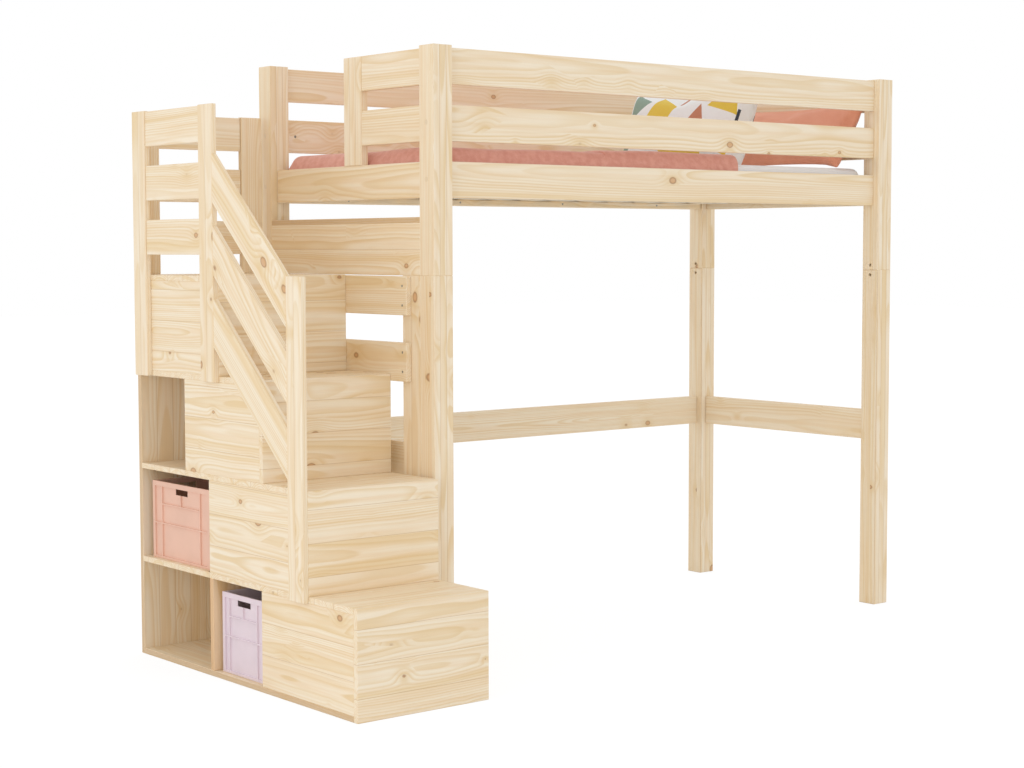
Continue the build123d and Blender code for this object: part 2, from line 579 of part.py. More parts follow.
def pillow(width, height, thickness):
    """A stuffed pillow lying flat: a crown that thins to the seams, and long sides drawn in."""
    sections = []
    for span_index in range(PILLOW_SPANS + 1):
        station = -cos(pi * span_index / PILLOW_SPANS)
        half_height = height / 2 - PILLOW_DRAW_IN * (1 - station ** 2)
        crown = (thickness - PILLOW_END_THICKNESS) * (1 - abs(station) ** 2.6) ** 0.6
        half_thickness = (PILLOW_END_THICKNESS + crown) / 2
        outline = []
        for corner in range(2 * PILLOW_FACE_STRIPS):
            turn = pi * corner / PILLOW_FACE_STRIPS
            outline.append((station * width / 2, half_height * cos(turn), half_thickness * sin(turn)))
        sections.append(Wire.make_polygon(outline))
    return Solid.make_loft(sections, ruled=True)


def propped(cushion, lean, back_x, middle_y):
    """A pillow stood on the mattress and leant back, its rearmost point at back_x."""
    stood = Rot(0, lean - 90, 0) * (Rot(0, 0, 90) * cushion)
    box = stood.bounding_box()
    return Pos(back_x - box.max.X, middle_y, MATTRESS_TOP + SOFT_GAP - box.min.Z) * stood


head_rail_x = BED_LENGTH - RAIL_INNER
head_pillow_y = RAIL_INNER + HEAD_PILLOW_SIDE_GAP + HEAD_PILLOW_WIDTH / 2
head_pillow = pillow(HEAD_PILLOW_WIDTH, HEAD_PILLOW_HEIGHT, HEAD_PILLOW_THICKNESS)
pillow_coral = propped(head_pillow, HEAD_PILLOW_LEAN, head_rail_x - SOFT_GAP, head_pillow_y)
front_pillow = pillow(PILLOW_WIDTH, PILLOW_HEIGHT, PILLOW_THICKNESS)
front_pillow_y = BED_WIDTH / 2 + PILLOW_OFF_CENTRE
pillow_patterned = propped(front_pillow, PILLOW_LEAN, head_rail_x - PILLOW_FROM_HEAD, front_pillow_y)


def ribbed_wall(length):
    """One side's ribs, in a folding crate's layout, on a wall that faces -Y along the X axis."""
    half = length / 2
    post_x = half - length * 0.165
    low_rib = CRATE_HEIGHT * 0.46
    high_rib = CRATE_HEIGHT * 0.71
    rim_foot = CRATE_HEIGHT - CRATE_RIM
    half_rib = CRATE_RIB / 2
    depth = (0, CRATE_RIB_DEPTH)
    ribs = [
        block((-half, half), depth, (rim_foot, CRATE_HEIGHT)),
        block((-half, half), depth, (0, CRATE_RIM / 2)),
        block((-half, half), depth, grown((low_rib, low_rib), half_rib)),
        block((-post_x, post_x), depth, grown((high_rib, high_rib), half_rib)),
        block((-half_rib, half_rib), depth, (high_rib, rim_foot)),
    ]
    for side in (-1, 1):
        corner_x = side * (half - CRATE_CORNER / 2)
        for x, half_width in ((side * post_x, half_rib), (corner_x, CRATE_CORNER / 2)):
            ribs.append(block(grown((x, x), half_width), depth, (0, CRATE_HEIGHT)))
    return ribs


def crate():
    """A ribbed folding crate, long side to the front, standing on the origin."""
    skin_x = CRATE_LONG - 2 * CRATE_RIB_DEPTH
    skin_y = CRATE_SHORT - 2 * CRATE_RIB_DEPTH
    ground = (Align.CENTER, Align.CENTER, Align.MIN)
    shell = Box(skin_x, skin_y, CRATE_HEIGHT, align=ground)
    ribs = []
    for turn, length, reach in ((0, CRATE_LONG, CRATE_SHORT), (90, CRATE_SHORT, CRATE_LONG)):
        for half_turn in (0, 180):
            wall = [Pos(0, -reach / 2, 0) * rib for rib in ribbed_wall(length)]
            ribs += [Rot(0, 0, turn + half_turn) * rib for rib in wall]
    shell = shell + ribs
    hollow = Box(skin_x - 2 * CRATE_WALL, skin_y - 2 * CRATE_WALL, CRATE_HEIGHT, align=ground)
    handle_z = CRATE_HEIGHT - CRATE_RIM - HANDLE_HEIGHT / 2
    slots = [
        Pos(0, 0, handle_z) * Box(HANDLE_LENGTH, 2 * CRATE_SHORT, HANDLE_HEIGHT),
        Pos(0, 0, handle_z) * Box(2 * CRATE_LONG, HANDLE_LENGTH, HANDLE_HEIGHT),
    ]
    return shell - Pos(0, 0, CRATE_FLOOR) * hollow - slots


crate_front = UNIT_OUTSIDE + CRATE_INSET
coral_x = crate_front + CRATE_SHORT / 2
lilac_x = crate_front + CRATE_LONG / 2
coral_y = LARGE_CUBBY_FRONT + LARGE_CUBBY / 2
lilac_y = LOWER_PANEL_BACK + SMALL_CUBBY / 2
crate_coral = Pos(coral_x, coral_y, BOARD + RISE + SOFT_GAP) * (Rot(0, 0, -90) * crate())
crate_lilac = Pos(lilac_x, lilac_y, BOARD + SOFT_GAP) * crate()

# Cut the sockets in what receives the tongues, and the fasteners' holes in all that they pass.
cutters = sockets + holes
receivers = {**posts, **guard_planks}
wood = {**rails, **inner_guard, **stairs}
parts = {name: relieved(piece, cutters) for name, piece in receivers.items()}
parts.update({name: relieved(piece, holes) for name, piece in wood.items()})
receiver_groups = {"lower_legs": legs, "platform_guard_uprights": platform_uprights}
wood_groups = {
    "slat_bearers": bearers,
    "slats": slats,
    "stair_outer_panels": outer_panels,
    "stair_inner_panels": inner_panels,
    "stair_partitions": partitions,
    "guard_side_boards": side_boards,
    "guard_diagonals": diagonals,
    "platform_guard_boards": platform_boards,
}
other_groups = {
    "slat_straps": straps,
    "bed_bolts": bolts + studs,
    "barrel_nuts": barrel_nuts,
    "bolt_caps": caps,
    "screws": screws,
    "guard_dowels": dowels,
}
for name, group in receiver_groups.items():
    parts[name] = grouped(relieved(piece, cutters) for piece in group)
for name, group in wood_groups.items():
    parts[name] = grouped(relieved(piece, holes) for piece in group)
for name, group in other_groups.items():
    parts[name] = grouped(group)
parts.update({
    "mattress": mattress,
    "duvet": duvet,
    "pillow_patterned": pillow_patterned,
    "pillow_coral": pillow_coral,
    "crate_coral": crate_coral,
    "crate_lilac": crate_lilac,
})

to_origin = Pos(-(GUARD_OUTSIDE + BED_LENGTH) / 2, -(UNIT_FRONT + BED_WIDTH) / 2, 0)
for name, piece in parts.items():
    export_step(to_origin * piece, f"parts/{name}.step")
print(len(parts), "nodes")
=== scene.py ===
import itertools
from math import cos, pi, radians, sin, sqrt

import bmesh
import bpy
import numpy as np
from mathutils import Matrix, Vector


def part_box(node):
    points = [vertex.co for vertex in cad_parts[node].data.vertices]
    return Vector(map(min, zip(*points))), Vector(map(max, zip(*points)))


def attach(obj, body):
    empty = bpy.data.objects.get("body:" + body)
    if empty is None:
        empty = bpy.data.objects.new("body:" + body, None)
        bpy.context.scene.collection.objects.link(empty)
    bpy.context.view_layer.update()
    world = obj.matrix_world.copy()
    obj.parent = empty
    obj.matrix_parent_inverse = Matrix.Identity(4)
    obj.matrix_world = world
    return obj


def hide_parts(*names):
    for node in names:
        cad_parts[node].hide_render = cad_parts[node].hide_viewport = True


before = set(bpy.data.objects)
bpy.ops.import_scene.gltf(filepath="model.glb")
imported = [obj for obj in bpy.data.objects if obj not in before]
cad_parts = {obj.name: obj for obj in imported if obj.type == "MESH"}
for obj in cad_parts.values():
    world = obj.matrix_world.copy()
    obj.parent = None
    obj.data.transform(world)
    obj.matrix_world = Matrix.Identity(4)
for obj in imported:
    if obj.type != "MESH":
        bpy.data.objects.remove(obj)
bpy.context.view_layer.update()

# Camera
# The photograph's view: standing height, looking along the bed from beyond the foot of the
# staircase, through a long lens.
CAMERA_PLACE = Vector((-4.3038, -5.0533, 1.3260))
CAMERA_YAW = radians(-38.99)
CAMERA_DIP = radians(4.03)
CAMERA_ROLL = radians(-0.11)
CAMERA_LENS = 68.29

camera_data = bpy.data.cameras.new("camera")
camera_data.lens = CAMERA_LENS
camera = bpy.data.objects.new("camera", camera_data)
heading = Matrix.Rotation(CAMERA_YAW, 4, "Z") @ Matrix.Rotation(pi / 2 - CAMERA_DIP, 4, "X")
roll = Matrix.Rotation(CAMERA_ROLL, 4, "Z")
camera.matrix_world = Matrix.Translation(CAMERA_PLACE) @ heading @ roll
bpy.context.collection.objects.link(camera)
bpy.context.scene.camera = camera
bpy.context.scene.view_settings.view_transform = "Standard"


# Floor, backdrop and light
# A white studio: an even white sky, one large soft lamp above the camera's left shoulder, and
# a white floor that keeps a faint shadow.
SKY_STRENGTH = 0.93
LAMP_PLACE = Vector((-6.0, -2.5, 1.6))
LAMP_AIM = Vector((0.0, 0.0, 0.9))
LAMP_SIZE = 3.2
LAMP_POWER = 40.0
FLOOR_SIZE = 60.0
FLOOR_SHADE = 0.92
FLOOR_GLOW = 0.8
FLOOR_GLOW_STRENGTH = 1.08
FLOOR_DROP = 0.0006


class Wire:
    """A shader socket that arithmetic works on: each operator adds its Math node."""

    def __init__(self, tree, socket):
        self.tree = tree
        self.socket = socket

    def maths(self, operation, *values, **settings):
        inputs = dict(enumerate(values))
        return self.tree.add("ShaderNodeMath", {"operation": operation, **settings}, inputs)

    def __add__(self, other):
        return self.maths("ADD", self, other)

    def __sub__(self, other):
        return self.maths("SUBTRACT", self, other)

    def __rsub__(self, other):
        return self.maths("SUBTRACT", other, self)

    def __mul__(self, other):
        return self.maths("MULTIPLY", self, other)

    def __truediv__(self, other):
        return self.maths("DIVIDE", self, other)

    def __neg__(self):
        return self * -1.0

    __radd__ = __add__
    __rmul__ = __mul__

    def floor(self):
        return self.maths("FLOOR", self)

    def fraction(self):
        return self.maths("FRACT", self)

    def root(self):
        return self.maths("SQRT", self)

    def size(self):
        return self.maths("ABSOLUTE", self)

    def sine(self):
        return self.maths("SINE", self)

    def larger(self, other):
        return self.maths("MAXIMUM", self, other)

    def over(self, limit):
        """One where the value passes a limit, and zero elsewhere."""
        return self.maths("GREATER_THAN", self, limit)

    def bell(self, width):
        """One at zero, falling off on both sides over a width."""
        scaled = self / width
        return self.maths("EXPONENT", -(scaled * scaled))

    def ramp(self, start, end, low=0.0, high=1.0):
        """Eases from low to high as the value goes from start to end."""
        inputs = {"Value": self, "From Min": start, "From Max": end, "To Min": low, "To Max": high}
        return self.tree.add("ShaderNodeMapRange", {"interpolation_type": "SMOOTHSTEP"}, inputs)


class Nodes:
    """A node tree that is filled by name: a node's type, its settings, then its sockets."""

    def __init__(self, tree):
        self.tree = tree
        tree.nodes.clear()

    def add(self, kind, settings=None, inputs=None, output=0):
        node = self.tree.nodes.new(kind)
        for name, value in (settings or {}).items():
            setattr(node, name, value)
        for key, value in (inputs or {}).items():
            if isinstance(value, Wire):
                self.tree.links.new(value.socket, node.inputs[key])
            else:
                node.inputs[key].default_value = value
        return Wire(self, node.outputs[output]) if node.outputs else node

    def place(self):
        """Where a point is on the object at rest, in metres."""
        return self.add("ShaderNodeTexCoord", output=3)

    def along(self, vector, direction):
        """How far a vector reaches in a direction."""
        return self.vector_maths("DOT_PRODUCT", vector, direction, 1)

    def vector_maths(self, operation, first, second, output=0):
        return self.add("ShaderNodeVectorMath", {"operation": operation}, {0: first, 1: second}, output)

    def shifted(self, vector, offset):
        return self.vector_maths("ADD", vector, offset)

    def scaled(self, vector, factors):
        return self.vector_maths("MULTIPLY", vector, factors)

    def chance(self, kind, name, value, output=0):
        """A random number, or three of them as a colour, drawn from a value."""
        return self.add("ShaderNodeTexWhiteNoise", {"noise_dimensions": kind}, {name: value}, output)

    def point(self, x, y, z=0.0):
        return self.add("ShaderNodeCombineXYZ", None, {0: x, 1: y, 2: z})

    def parts(self, vector):
        split = self.tree.nodes.new("ShaderNodeSeparateXYZ")
        self.tree.links.new(vector.socket, split.inputs[0])
        return [Wire(self, split.outputs[index]) for index in range(3)]

    def noise(self, vector, scale, detail=2.0, roughness=0.5, output=0):
        inputs = {"Vector": vector, "Scale": scale, "Detail": detail, "Roughness": roughness}
        return self.add("ShaderNodeTexNoise", None, inputs, output)

    def blend(self, share, first, second, mode="MIX"):
        """A colour between two colours."""
        settings = {"data_type": "RGBA", "blend_type": mode, "clamp_factor": True}
        return self.add("ShaderNodeMix", settings, {0: share, 6: first, 7: second}, 2)

    def bump(self, height, distance, strength=1.0):
        inputs = {"Height": height, "Distance": distance, "Strength": strength}
        return self.add("ShaderNodeBump", None, inputs)

    def surface(self, **sockets):
        """The principled surface, its sockets named with underscores for spaces."""
        named = {name.replace("_", " "): value for name, value in sockets.items()}
        shader = self.add("ShaderNodeBsdfPrincipled", None, named)
        self.add("ShaderNodeOutputMaterial", None, {"Surface": shader})


def linear(red, green, blue):
    """A colour as it looks on a screen, from 0 to 255, in the shader's linear units."""
    shares = [channel / 255 for channel in (red, green, blue)]
    units = [s / 12.92 if s <= 0.04045 else ((s + 0.055) / 1.055) ** 2.4 for s in shares]
    return (*units, 1.0)


def new_material(name):
    material = bpy.data.materials.new(name)
    material.use_nodes = True
    return material, Nodes(material.node_tree)


def new_object(name, mesh, material=None):
    """A finished mesh as an object at the origin."""
    piece = bpy.data.objects.new(name, mesh)
    bpy.context.collection.objects.link(piece)
    if material:
        mesh.materials.clear()
        mesh.materials.append(material)
    return piece


world = bpy.data.worlds.new("studio")
world.use_nodes = True
bpy.context.scene.world = world
sky = Nodes(world.node_tree)
seen = sky.add("ShaderNodeLightPath", output=0)
for ray in ("Is Glossy Ray", "Is Transmission Ray"):
    path = sky.tree.nodes.new("ShaderNodeLightPath")
    seen = seen.larger(Wire(sky, path.outputs[ray]))
strength = SKY_STRENGTH + seen * (1.0 - SKY_STRENGTH)
white_sky = sky.add("ShaderNodeBackground", None, {"Color": (1, 1, 1, 1), "Strength": strength})
sky.add("ShaderNodeOutputWorld", None, {"Surface": white_sky})

lamp_data = bpy.data.lights.new("key_lamp", "AREA")
lamp_data.energy = LAMP_POWER
lamp_data.size = LAMP_SIZE
lamp = bpy.data.objects.new("key_lamp", lamp_data)
lamp.location = LAMP_PLACE
lamp.rotation_euler = (LAMP_AIM - LAMP_PLACE).to_track_quat("-Z", "Y").to_euler()
bpy.context.collection.objects.link(lamp)

floor_material, floor_nodes = new_material("studio_floor")
white = (1.0, 1.0, 1.0, 1.0)
floor_shade = (FLOOR_SHADE, FLOOR_SHADE, FLOOR_SHADE, 1.0)
glow_inputs = {"Color": white, "Strength": FLOOR_GLOW_STRENGTH}
glow = floor_nodes.add("ShaderNodeEmission", None, glow_inputs)
matt = floor_nodes.add("ShaderNodeBsdfDiffuse", None, {"Color": floor_shade})
floor_seen = floor_nodes.add("ShaderNodeLightPath", output=0)
floor_inputs = {0: floor_seen * FLOOR_GLOW, 1: matt, 2: glow}
floor_mix = floor_nodes.add("ShaderNodeMixShader", None, floor_inputs)
floor_nodes.add("ShaderNodeOutputMaterial", None, {"Surface": floor_mix})
floor_mesh = bpy.data.meshes.new("studio_floor")
half = FLOOR_SIZE / 2
floor_sides = ((-half, -half), (half, -half), (half, half), (-half, half))
floor_mesh.from_pydata([(x, y, -FLOOR_DROP) for x, y in floor_sides], [], [(0, 1, 2, 3)])
new_object("studio_floor", floor_mesh, floor_material)


# Pine, the bed's one wood
# Light knotty pine, planed and clear coated. One grain serves every board: growth rings around
# a pith outside the board, glued strips that each have their own rings, knots and fibres.
PINE_PALE = linear(245, 232, 209)
PINE_WARM = linear(240, 219, 188)
PINE_LATE = linear(226, 194, 138)
PINE_FLAME = linear(228, 196, 136)
PINE_GLUE = linear(188, 148, 98)
KNOT_HEART = linear(210, 150, 96)
KNOT_EDGE = linear(150, 92, 50)
RING_SPACING = 0.0062
PITH_DEPTH = 0.03
PITH_SPREAD = 0.06
PITH_SLANT = 0.045
PITH_SHIFT = 0.9
GRAIN_WOBBLE = 0.016
KNOT_PITCH = (0.26, 0.10, 0.10)
KNOT_SHARE = 0.42
KNOT_SMALL = 0.0035
KNOT_LARGE = 0.012
GLUE_LINE = 0.0007
EDGE_CLEAR = 0.0015
WHOLE_BOARD = 4.0
GRAIN_RELIEF = 0.00012
WAVE_FINENESS = (1.5, 5.0, 5.0)
FIBRE_FINENESS = (18.0, 700.0, 700.0)
STREAK_FINENESS = (2.2, 60.0, 60.0)
FLAME_FINENESS = 55.0
KNOT_ROUGHNESS = 0.0012
KNOT_SWELLING = 3.2
KNOT_HALO = 2.4
KNOT_RINGS = 1500.0
STRIP_STRIDE = 3.71
LAYER_STRIDE = 17.3
BOARD_STRIDE = 11.7


def build_grain():
    """The grain as one node group: a point along, across and through a board, to its finish."""
    group = bpy.data.node_groups.new("pine_grain", "ShaderNodeTree")
    given_sockets = (("Point", "Vector"), ("Strip", "Float"), ("Layer", "Float"), ("Seed", "Float"),
                     ("Knots", "Float"))
    result_sockets = (("Color", "Color"), ("Roughness", "Float"), ("Height", "Float"))
    for way, sockets in (("INPUT", given_sockets), ("OUTPUT", result_sockets)):
        for name, kind in sockets:
            group.interface.new_socket(name, in_out=way, socket_type=f"NodeSocket{kind}")
    n = Nodes(group)
    given = group.nodes.new("NodeGroupInput")
    point, strip, layer, seed, knots = (Wire(n, given.outputs[index]) for index in range(5))
    length, width, depth = n.parts(point)

    # The strip that a point is in, and the chances drawn for it.
    strip_index = (width / strip).floor()
    layer_index = (depth / layer).floor()
    in_strip = width - (strip_index + 0.5) * strip
    in_layer = depth - (layer_index + 0.5) * layer
    draw = strip_index * STRIP_STRIDE + layer_index * LAYER_STRIDE + seed
    first, second, third = n.parts(n.chance("1D", "W", draw, 1))

    # Knots: small ellipsoids scattered through the strip.
    shifted_length = length + first * 9.0
    cell_length = shifted_length / KNOT_PITCH[0]
    cell_width = in_strip / KNOT_PITCH[1] + draw * 5.0
    cell = n.point(cell_length, cell_width, in_layer / KNOT_PITCH[2])
    knot_place = n.add("ShaderNodeTexVoronoi", None, {"Vector": cell, "Scale": 1.0}, 2)
    apart = n.scaled(n.vector_maths("SUBTRACT", cell, knot_place), KNOT_PITCH)
    away_length, away_width, away_depth = n.parts(apart)
    ragged = n.noise(point, 160.0, 2.0) - 0.5
    stretched = away_length * away_length * 0.5
    squashed = away_depth * away_depth * 0.12
    knot_gap = (stretched + away_width * away_width + squashed).root()
    knot_gap = knot_gap + ragged * KNOT_ROUGHNESS
    luck = n.chance("3D", "Vector", knot_place)
    knot_there = luck.over(1.0 - knots)
    knot_size = KNOT_SMALL + (luck * 37.0).fraction() * (KNOT_LARGE - KNOT_SMALL)

    # Growth rings around the pith, bent by slow waves and by each knot.
    slow = n.scaled(point, WAVE_FINENESS)
    slow = n.shifted(slow, n.point(draw * 0.7, draw * 1.9, draw * 1.3))
    wave_width, wave_depth, wave_more = n.parts(n.noise(slow, 1.0, 2.0, 0.45, 1))
    slant = (second - 0.5) * PITH_SLANT
    from_width = in_strip - (first - 0.5) * strip * PITH_SHIFT + (wave_width - 0.5) * GRAIN_WOBBLE
    from_depth = in_layer + PITH_DEPTH + second * PITH_SPREAD + length * slant
    from_depth = from_depth + (wave_depth - 0.5) * GRAIN_WOBBLE * 2
    radius = (from_width * from_width + from_depth * from_depth).root()
    swelling = (knot_gap / (knot_size * KNOT_SWELLING)).bell(1.0) * knot_size * knot_there
    spacing = RING_SPACING * (0.75 + third * 0.5)
    phase = (radius + swelling * 1.4) / spacing + wave_more * 1.5
    ring = phase.fraction()
    ring_chance = n.chance("1D", "W", phase.floor() + draw)
    late = ring.ramp(0.25, 0.86) * ring.ramp(1.0, 0.88) * (0.35 + ring_chance * 0.65)
    flame_inputs = {"W": radius * FLAME_FINENESS + draw, "Scale": 1.0, "Detail": 1.0}
    flame = n.add("ShaderNodeTexNoise", {"noise_dimensions": "1D"}, flame_inputs).ramp(0.5, 0.78)

    # Fibres, and the thin glue line between two strips.
    fibre = n.noise(n.scaled(point, FIBRE_FINENESS), 1.0, 2.0, 0.6) - 0.5
    streak_point = n.shifted(n.scaled(point, STREAK_FINENESS), n.point(draw, draw * 2.0))
    streak = n.noise(streak_point, 1.0, 2.0, 0.5)
    glue_gap = strip * 0.5 - in_strip.size()
    glue = glue_gap.ramp(GLUE_LINE * 1.5, GLUE_LINE * 0.4)

    # The colour, from the clear wood up to the knots.
    colour = n.blend(streak.ramp(0.35, 0.7), PINE_PALE, PINE_WARM)
    colour = n.blend(third * 0.35, colour, PINE_WARM)
    colour = n.blend(flame * 0.42, colour, PINE_FLAME)
    colour = n.blend(late * 0.62, colour, PINE_LATE)
    halo = (knot_gap / (knot_size * KNOT_HALO)).bell(1.0) * knot_there
    colour = n.blend(halo * 0.55, colour, PINE_LATE)
    inside = (knot_gap / knot_size).ramp(1.05, 0.85) * knot_there
    rings_inside = (knot_gap * KNOT_RINGS + ragged * 3.0).fraction()
    knot_colour = n.blend(rings_inside * 0.45, KNOT_HEART, KNOT_EDGE)
    colour = n.blend(inside * 0.55, colour, knot_colour)
    outline = (knot_gap / knot_size - 1.0).bell(0.16) * knot_there
    colour = n.blend(outline * 0.62, colour, KNOT_EDGE)
    colour = n.blend(glue * 0.55, colour, PINE_GLUE)
    shade = 1.0 + fibre * 0.1
    colour = n.blend(1.0, colour, n.point(shade, shade, shade), "MULTIPLY")

    height = late * 0.6 + fibre * 1.4 - glue * 1.5 - inside * 0.5
    rough = 0.5 + fibre * 0.12 - late * 0.06 - inside * 0.1
    result = group.nodes.new("NodeGroupOutput")
    for index, wire in enumerate((colour, rough, height)):
        group.links.new(wire.socket, result.inputs[index])
    return group


pine_grain = build_grain()
AXES = {"X": Vector((1, 0, 0)), "Y": Vector((0, 1, 0)), "Z": Vector((0, 0, 1))}
board_numbers = itertools.count(1)


def pine(node, grain, across, strip, layer=WHOLE_BOARD, knots=KNOT_SHARE, origin=None, painted_bounce=None):
    """Finishes a CAD node in pine: the way its grain runs, the way its strips lie side by side,
    and how wide a strip is."""
    grain, across = (AXES[way] if isinstance(way, str) else way for way in (grain, across))
    through = grain.cross(across)
    low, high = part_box(node)
    start = low if origin is None else origin

    # A board made of whole strips has no glue line on its own edges.
    breadth = abs((high - low).dot(across))
    strips = round(breadth / strip)
    if origin is None and strips and abs(breadth - strips * strip) < EDGE_CLEAR:
        strip = (breadth + 2 * EDGE_CLEAR) / strips
        start = start - across * EDGE_CLEAR
    middle = (low + high) / 2
    offset = Vector((-start.dot(grain), -start.dot(across), layer / 2 - middle.dot(through)))

    material, n = new_material(f"pine_{node}")
    place = n.place()
    ways = [n.along(place, tuple(way)) for way in (grain, across, through)]
    point = n.shifted(n.point(*ways), tuple(offset))
    seed = next(board_numbers) * BOARD_STRIDE
    inputs = {"Point": point, "Strip": strip, "Layer": layer, "Seed": seed, "Knots": knots}
    colour = n.add("ShaderNodeGroup", {"node_tree": pine_grain}, inputs)
    grain_node = colour.socket.node
    # A tint multiplied into the colour paints warm bounce light and shade onto boards inside the
    # staircase's boxes.
    if painted_bounce:
        colour = n.blend(1.0, colour, painted_bounce, "MULTIPLY")
    height = Wire(n, grain_node.outputs["Height"])
    n.surface(
        Base_Color=colour,
        Roughness=Wire(n, grain_node.outputs["Roughness"]),
        Normal=n.bump(height, GRAIN_RELIEF),
        Specular_IOR_Level=0.35,
    )
    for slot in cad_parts[node].material_slots:
        slot.material = material


# Posts and legs
# Four square posts, each glued up from three strips and cut in two at the height of the
# staircase, where a hidden stud joins the upper post to its leg.
POST_STRIPS = 3
POST_KNOTS = 0.35
post_low, post_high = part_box("post_front_left")
post_width = post_high.x - post_low.x
post_strip = post_width / POST_STRIPS
for side in ("left", "right"):
    for depth in ("front", "back"):
        pine(f"post_{depth}_{side}", "Z", "X", post_strip, layer=post_strip, knots=POST_KNOTS)
legs_low, legs_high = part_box("lower_legs")
leg_pitch = legs_high.x - legs_low.x - post_width
leg_strip = leg_pitch / round(leg_pitch / post_strip)
pine("lower_legs", "Z", "X", leg_strip, layer=post_strip, knots=POST_KNOTS)


# Rails
# Solid planed boards between the posts: three high on each long side and at the head, with
# one more low down at the back and at both ends.
rail_low, rail_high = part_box("front_top_rail")
rail_height = rail_high.z - rail_low.z
for side in ("front", "back"):
    for level in ("top", "mid", "side"):
        pine(f"{side}_{level}_rail", "X", "Z", rail_height)
pine("back_lower_rail", "X", "Z", rail_height)
for node in ("right_top_rail", "right_mid_rail", "right_side_rail", "right_lower_rail",
             "left_lower_rail", "left_side_rail", "left_guard_top_rail", "left_guard_mid_rail"):
    pine(node, "Y", "Z", rail_height)


# Way in
# The short guard's upright, and a deep panel with a sill on it that closes the gap between
# the staircase and the mattress.
PANEL_STRIPS = 2
SILL_STRIP = 0.08
GUARD_UPRIGHT_KNOTS = 0.15
upright_low, upright_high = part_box("left_guard_upright")
upright_strip = (upright_high.y - upright_low.y) / POST_STRIPS
pine("left_guard_upright", "Z", "Y", upright_strip, knots=GUARD_UPRIGHT_KNOTS)
panel_low, panel_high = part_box("entry_panel")
pine("entry_panel", "Y", "Z", (panel_high.z - panel_low.z) / PANEL_STRIPS)
pine("entry_sill", "Y", "X", SILL_STRIP)


# Inner guard
# Two boards behind the upper steps, screwed to the back leg and to an upright of their own.
INNER_GUARD_KNOTS = 0.7
INNER_UPRIGHT_STRIP = 0.045

for level in ("upper", "lower"):
    board_low, board_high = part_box(f"inner_guard_board_{level}")
    board_height = board_high.z - board_low.z
    pine(f"inner_guard_board_{level}", "Y", "Z", board_height, knots=INNER_GUARD_KNOTS)
pine("inner_guard_upright", "Z", "Y", INNER_UPRIGHT_STRIP)


# Slatted base
# Fourteen slats on two bearers, held in their places by two woven straps.
SLAT_COUNT = 14
SLAT_WIDTH = 0.068
BEARER_STRIP = 1.2

slats_low, slats_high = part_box("slats")
slat_pitch = (slats_high.x - slats_low.x - SLAT_WIDTH) / (SLAT_COUNT - 1)
half_gap = Vector(((slat_pitch - SLAT_WIDTH) / 2, 0, 0))
pine("slats", "Y", "X", slat_pitch, origin=slats_low - half_gap)
pine("slat_bearers", "X", "Y", BEARER_STRIP)


# Staircase
# Boxes of edge-glued pine board, each riser in front of the side panels and each tread a
# shelf that runs back to the end panel.
STEPS = 4
GLUED_STRIP = 0.098
END_STRIP = 0.058
PARTITION_SPACING = 0.29
FIRST_JOINT = 0.03
JOINT_SHIFT = 0.013
# The partitions are tinted warmer: painted warm bounce light and shade inside the staircase's boxes.
PAINTED_BOUNCE_TINT = (1.09, 0.99, 0.90, 1.0)

for index in range(STEPS):
    tread = f"stair_tread_{index + 1}" if index < STEPS - 1 else "stair_platform"
    riser = f"stair_riser_{index + 1}"
    riser_low, riser_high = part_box(riser)
    below_riser = Vector((0, 0, FIRST_JOINT + JOINT_SHIFT * index))
    pine(tread, "X", "Y", GLUED_STRIP)
    pine(riser, "X", "Z", GLUED_STRIP, origin=riser_low - below_riser)
pine("stair_base_board", "Y", "X", GLUED_STRIP)
pine("stair_outer_panels", "Y", "Z", GLUED_STRIP)
pine("stair_inner_panels", "Y", "Z", GLUED_STRIP)
pine("stair_partitions", "Z", "X", GLUED_STRIP, layer=PARTITION_SPACING, painted_bounce=PAINTED_BOUNCE_TINT)
pine("stair_end_panel", "Z", "X", END_STRIP)


# Guards of the staircase
# Planks screwed to the side panels, with level boards between the upper two, slanting boards
# down to the front one, and three more boards across the back of the platform.
SLANT = radians(42.0)
SLANT_PITCH = 0.219
RAIL_STEP = 0.1715
UPRIGHT_GAPS = 4
PLANK_WIDTH = 0.08
PLANK_KNOTS = 0.3

for place in ("back", "middle", "front"):
    pine(f"guard_plank_{place}", "Z", "Y", PLANK_WIDTH / 2, knots=PLANK_KNOTS)
side_low, side_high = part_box("guard_side_boards")
below = Vector((0, 0, (RAIL_STEP - rail_height) / 2))
pine("guard_side_boards", "Y", "Z", RAIL_STEP, origin=side_low - below)
slanting = Vector((0, cos(SLANT), sin(SLANT)))
upward = Vector((0, -sin(SLANT), cos(SLANT)))
slant_low, slant_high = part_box("guard_diagonals")
slant_strip = SLANT_PITCH * cos(SLANT)
slant_start = Vector((0, slant_low.y, slant_low.z)) - upward * (slant_strip - rail_height) / 2
pine("guard_diagonals", slanting, upward, slant_strip, origin=slant_start)
guard_low, guard_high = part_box("platform_guard_uprights")
upright_step = (guard_high.x - guard_low.x - PLANK_WIDTH) / UPRIGHT_GAPS
pine("platform_guard_uprights", "Z", "X", upright_step)
boards_low, boards_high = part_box("platform_guard_boards")
pine("platform_guard_boards", "X", "Z", RAIL_STEP, origin=boards_low - below)


# Fasteners
# Pale plastic caps over the bed bolts' heads, countersunk steel screws, slotted barrel nuts,
# and the hidden bolts and dowels.
CAP_SHADE = linear(230, 210, 178)
STEEL_SHADE = linear(176, 174, 168)
STEEL_SPANGLE = linear(150, 150, 148)
DOWEL_SHADE = linear(226, 196, 154)
ROUND_SIDES = 24
SCREW_SIDES = 14
THREADS = 11


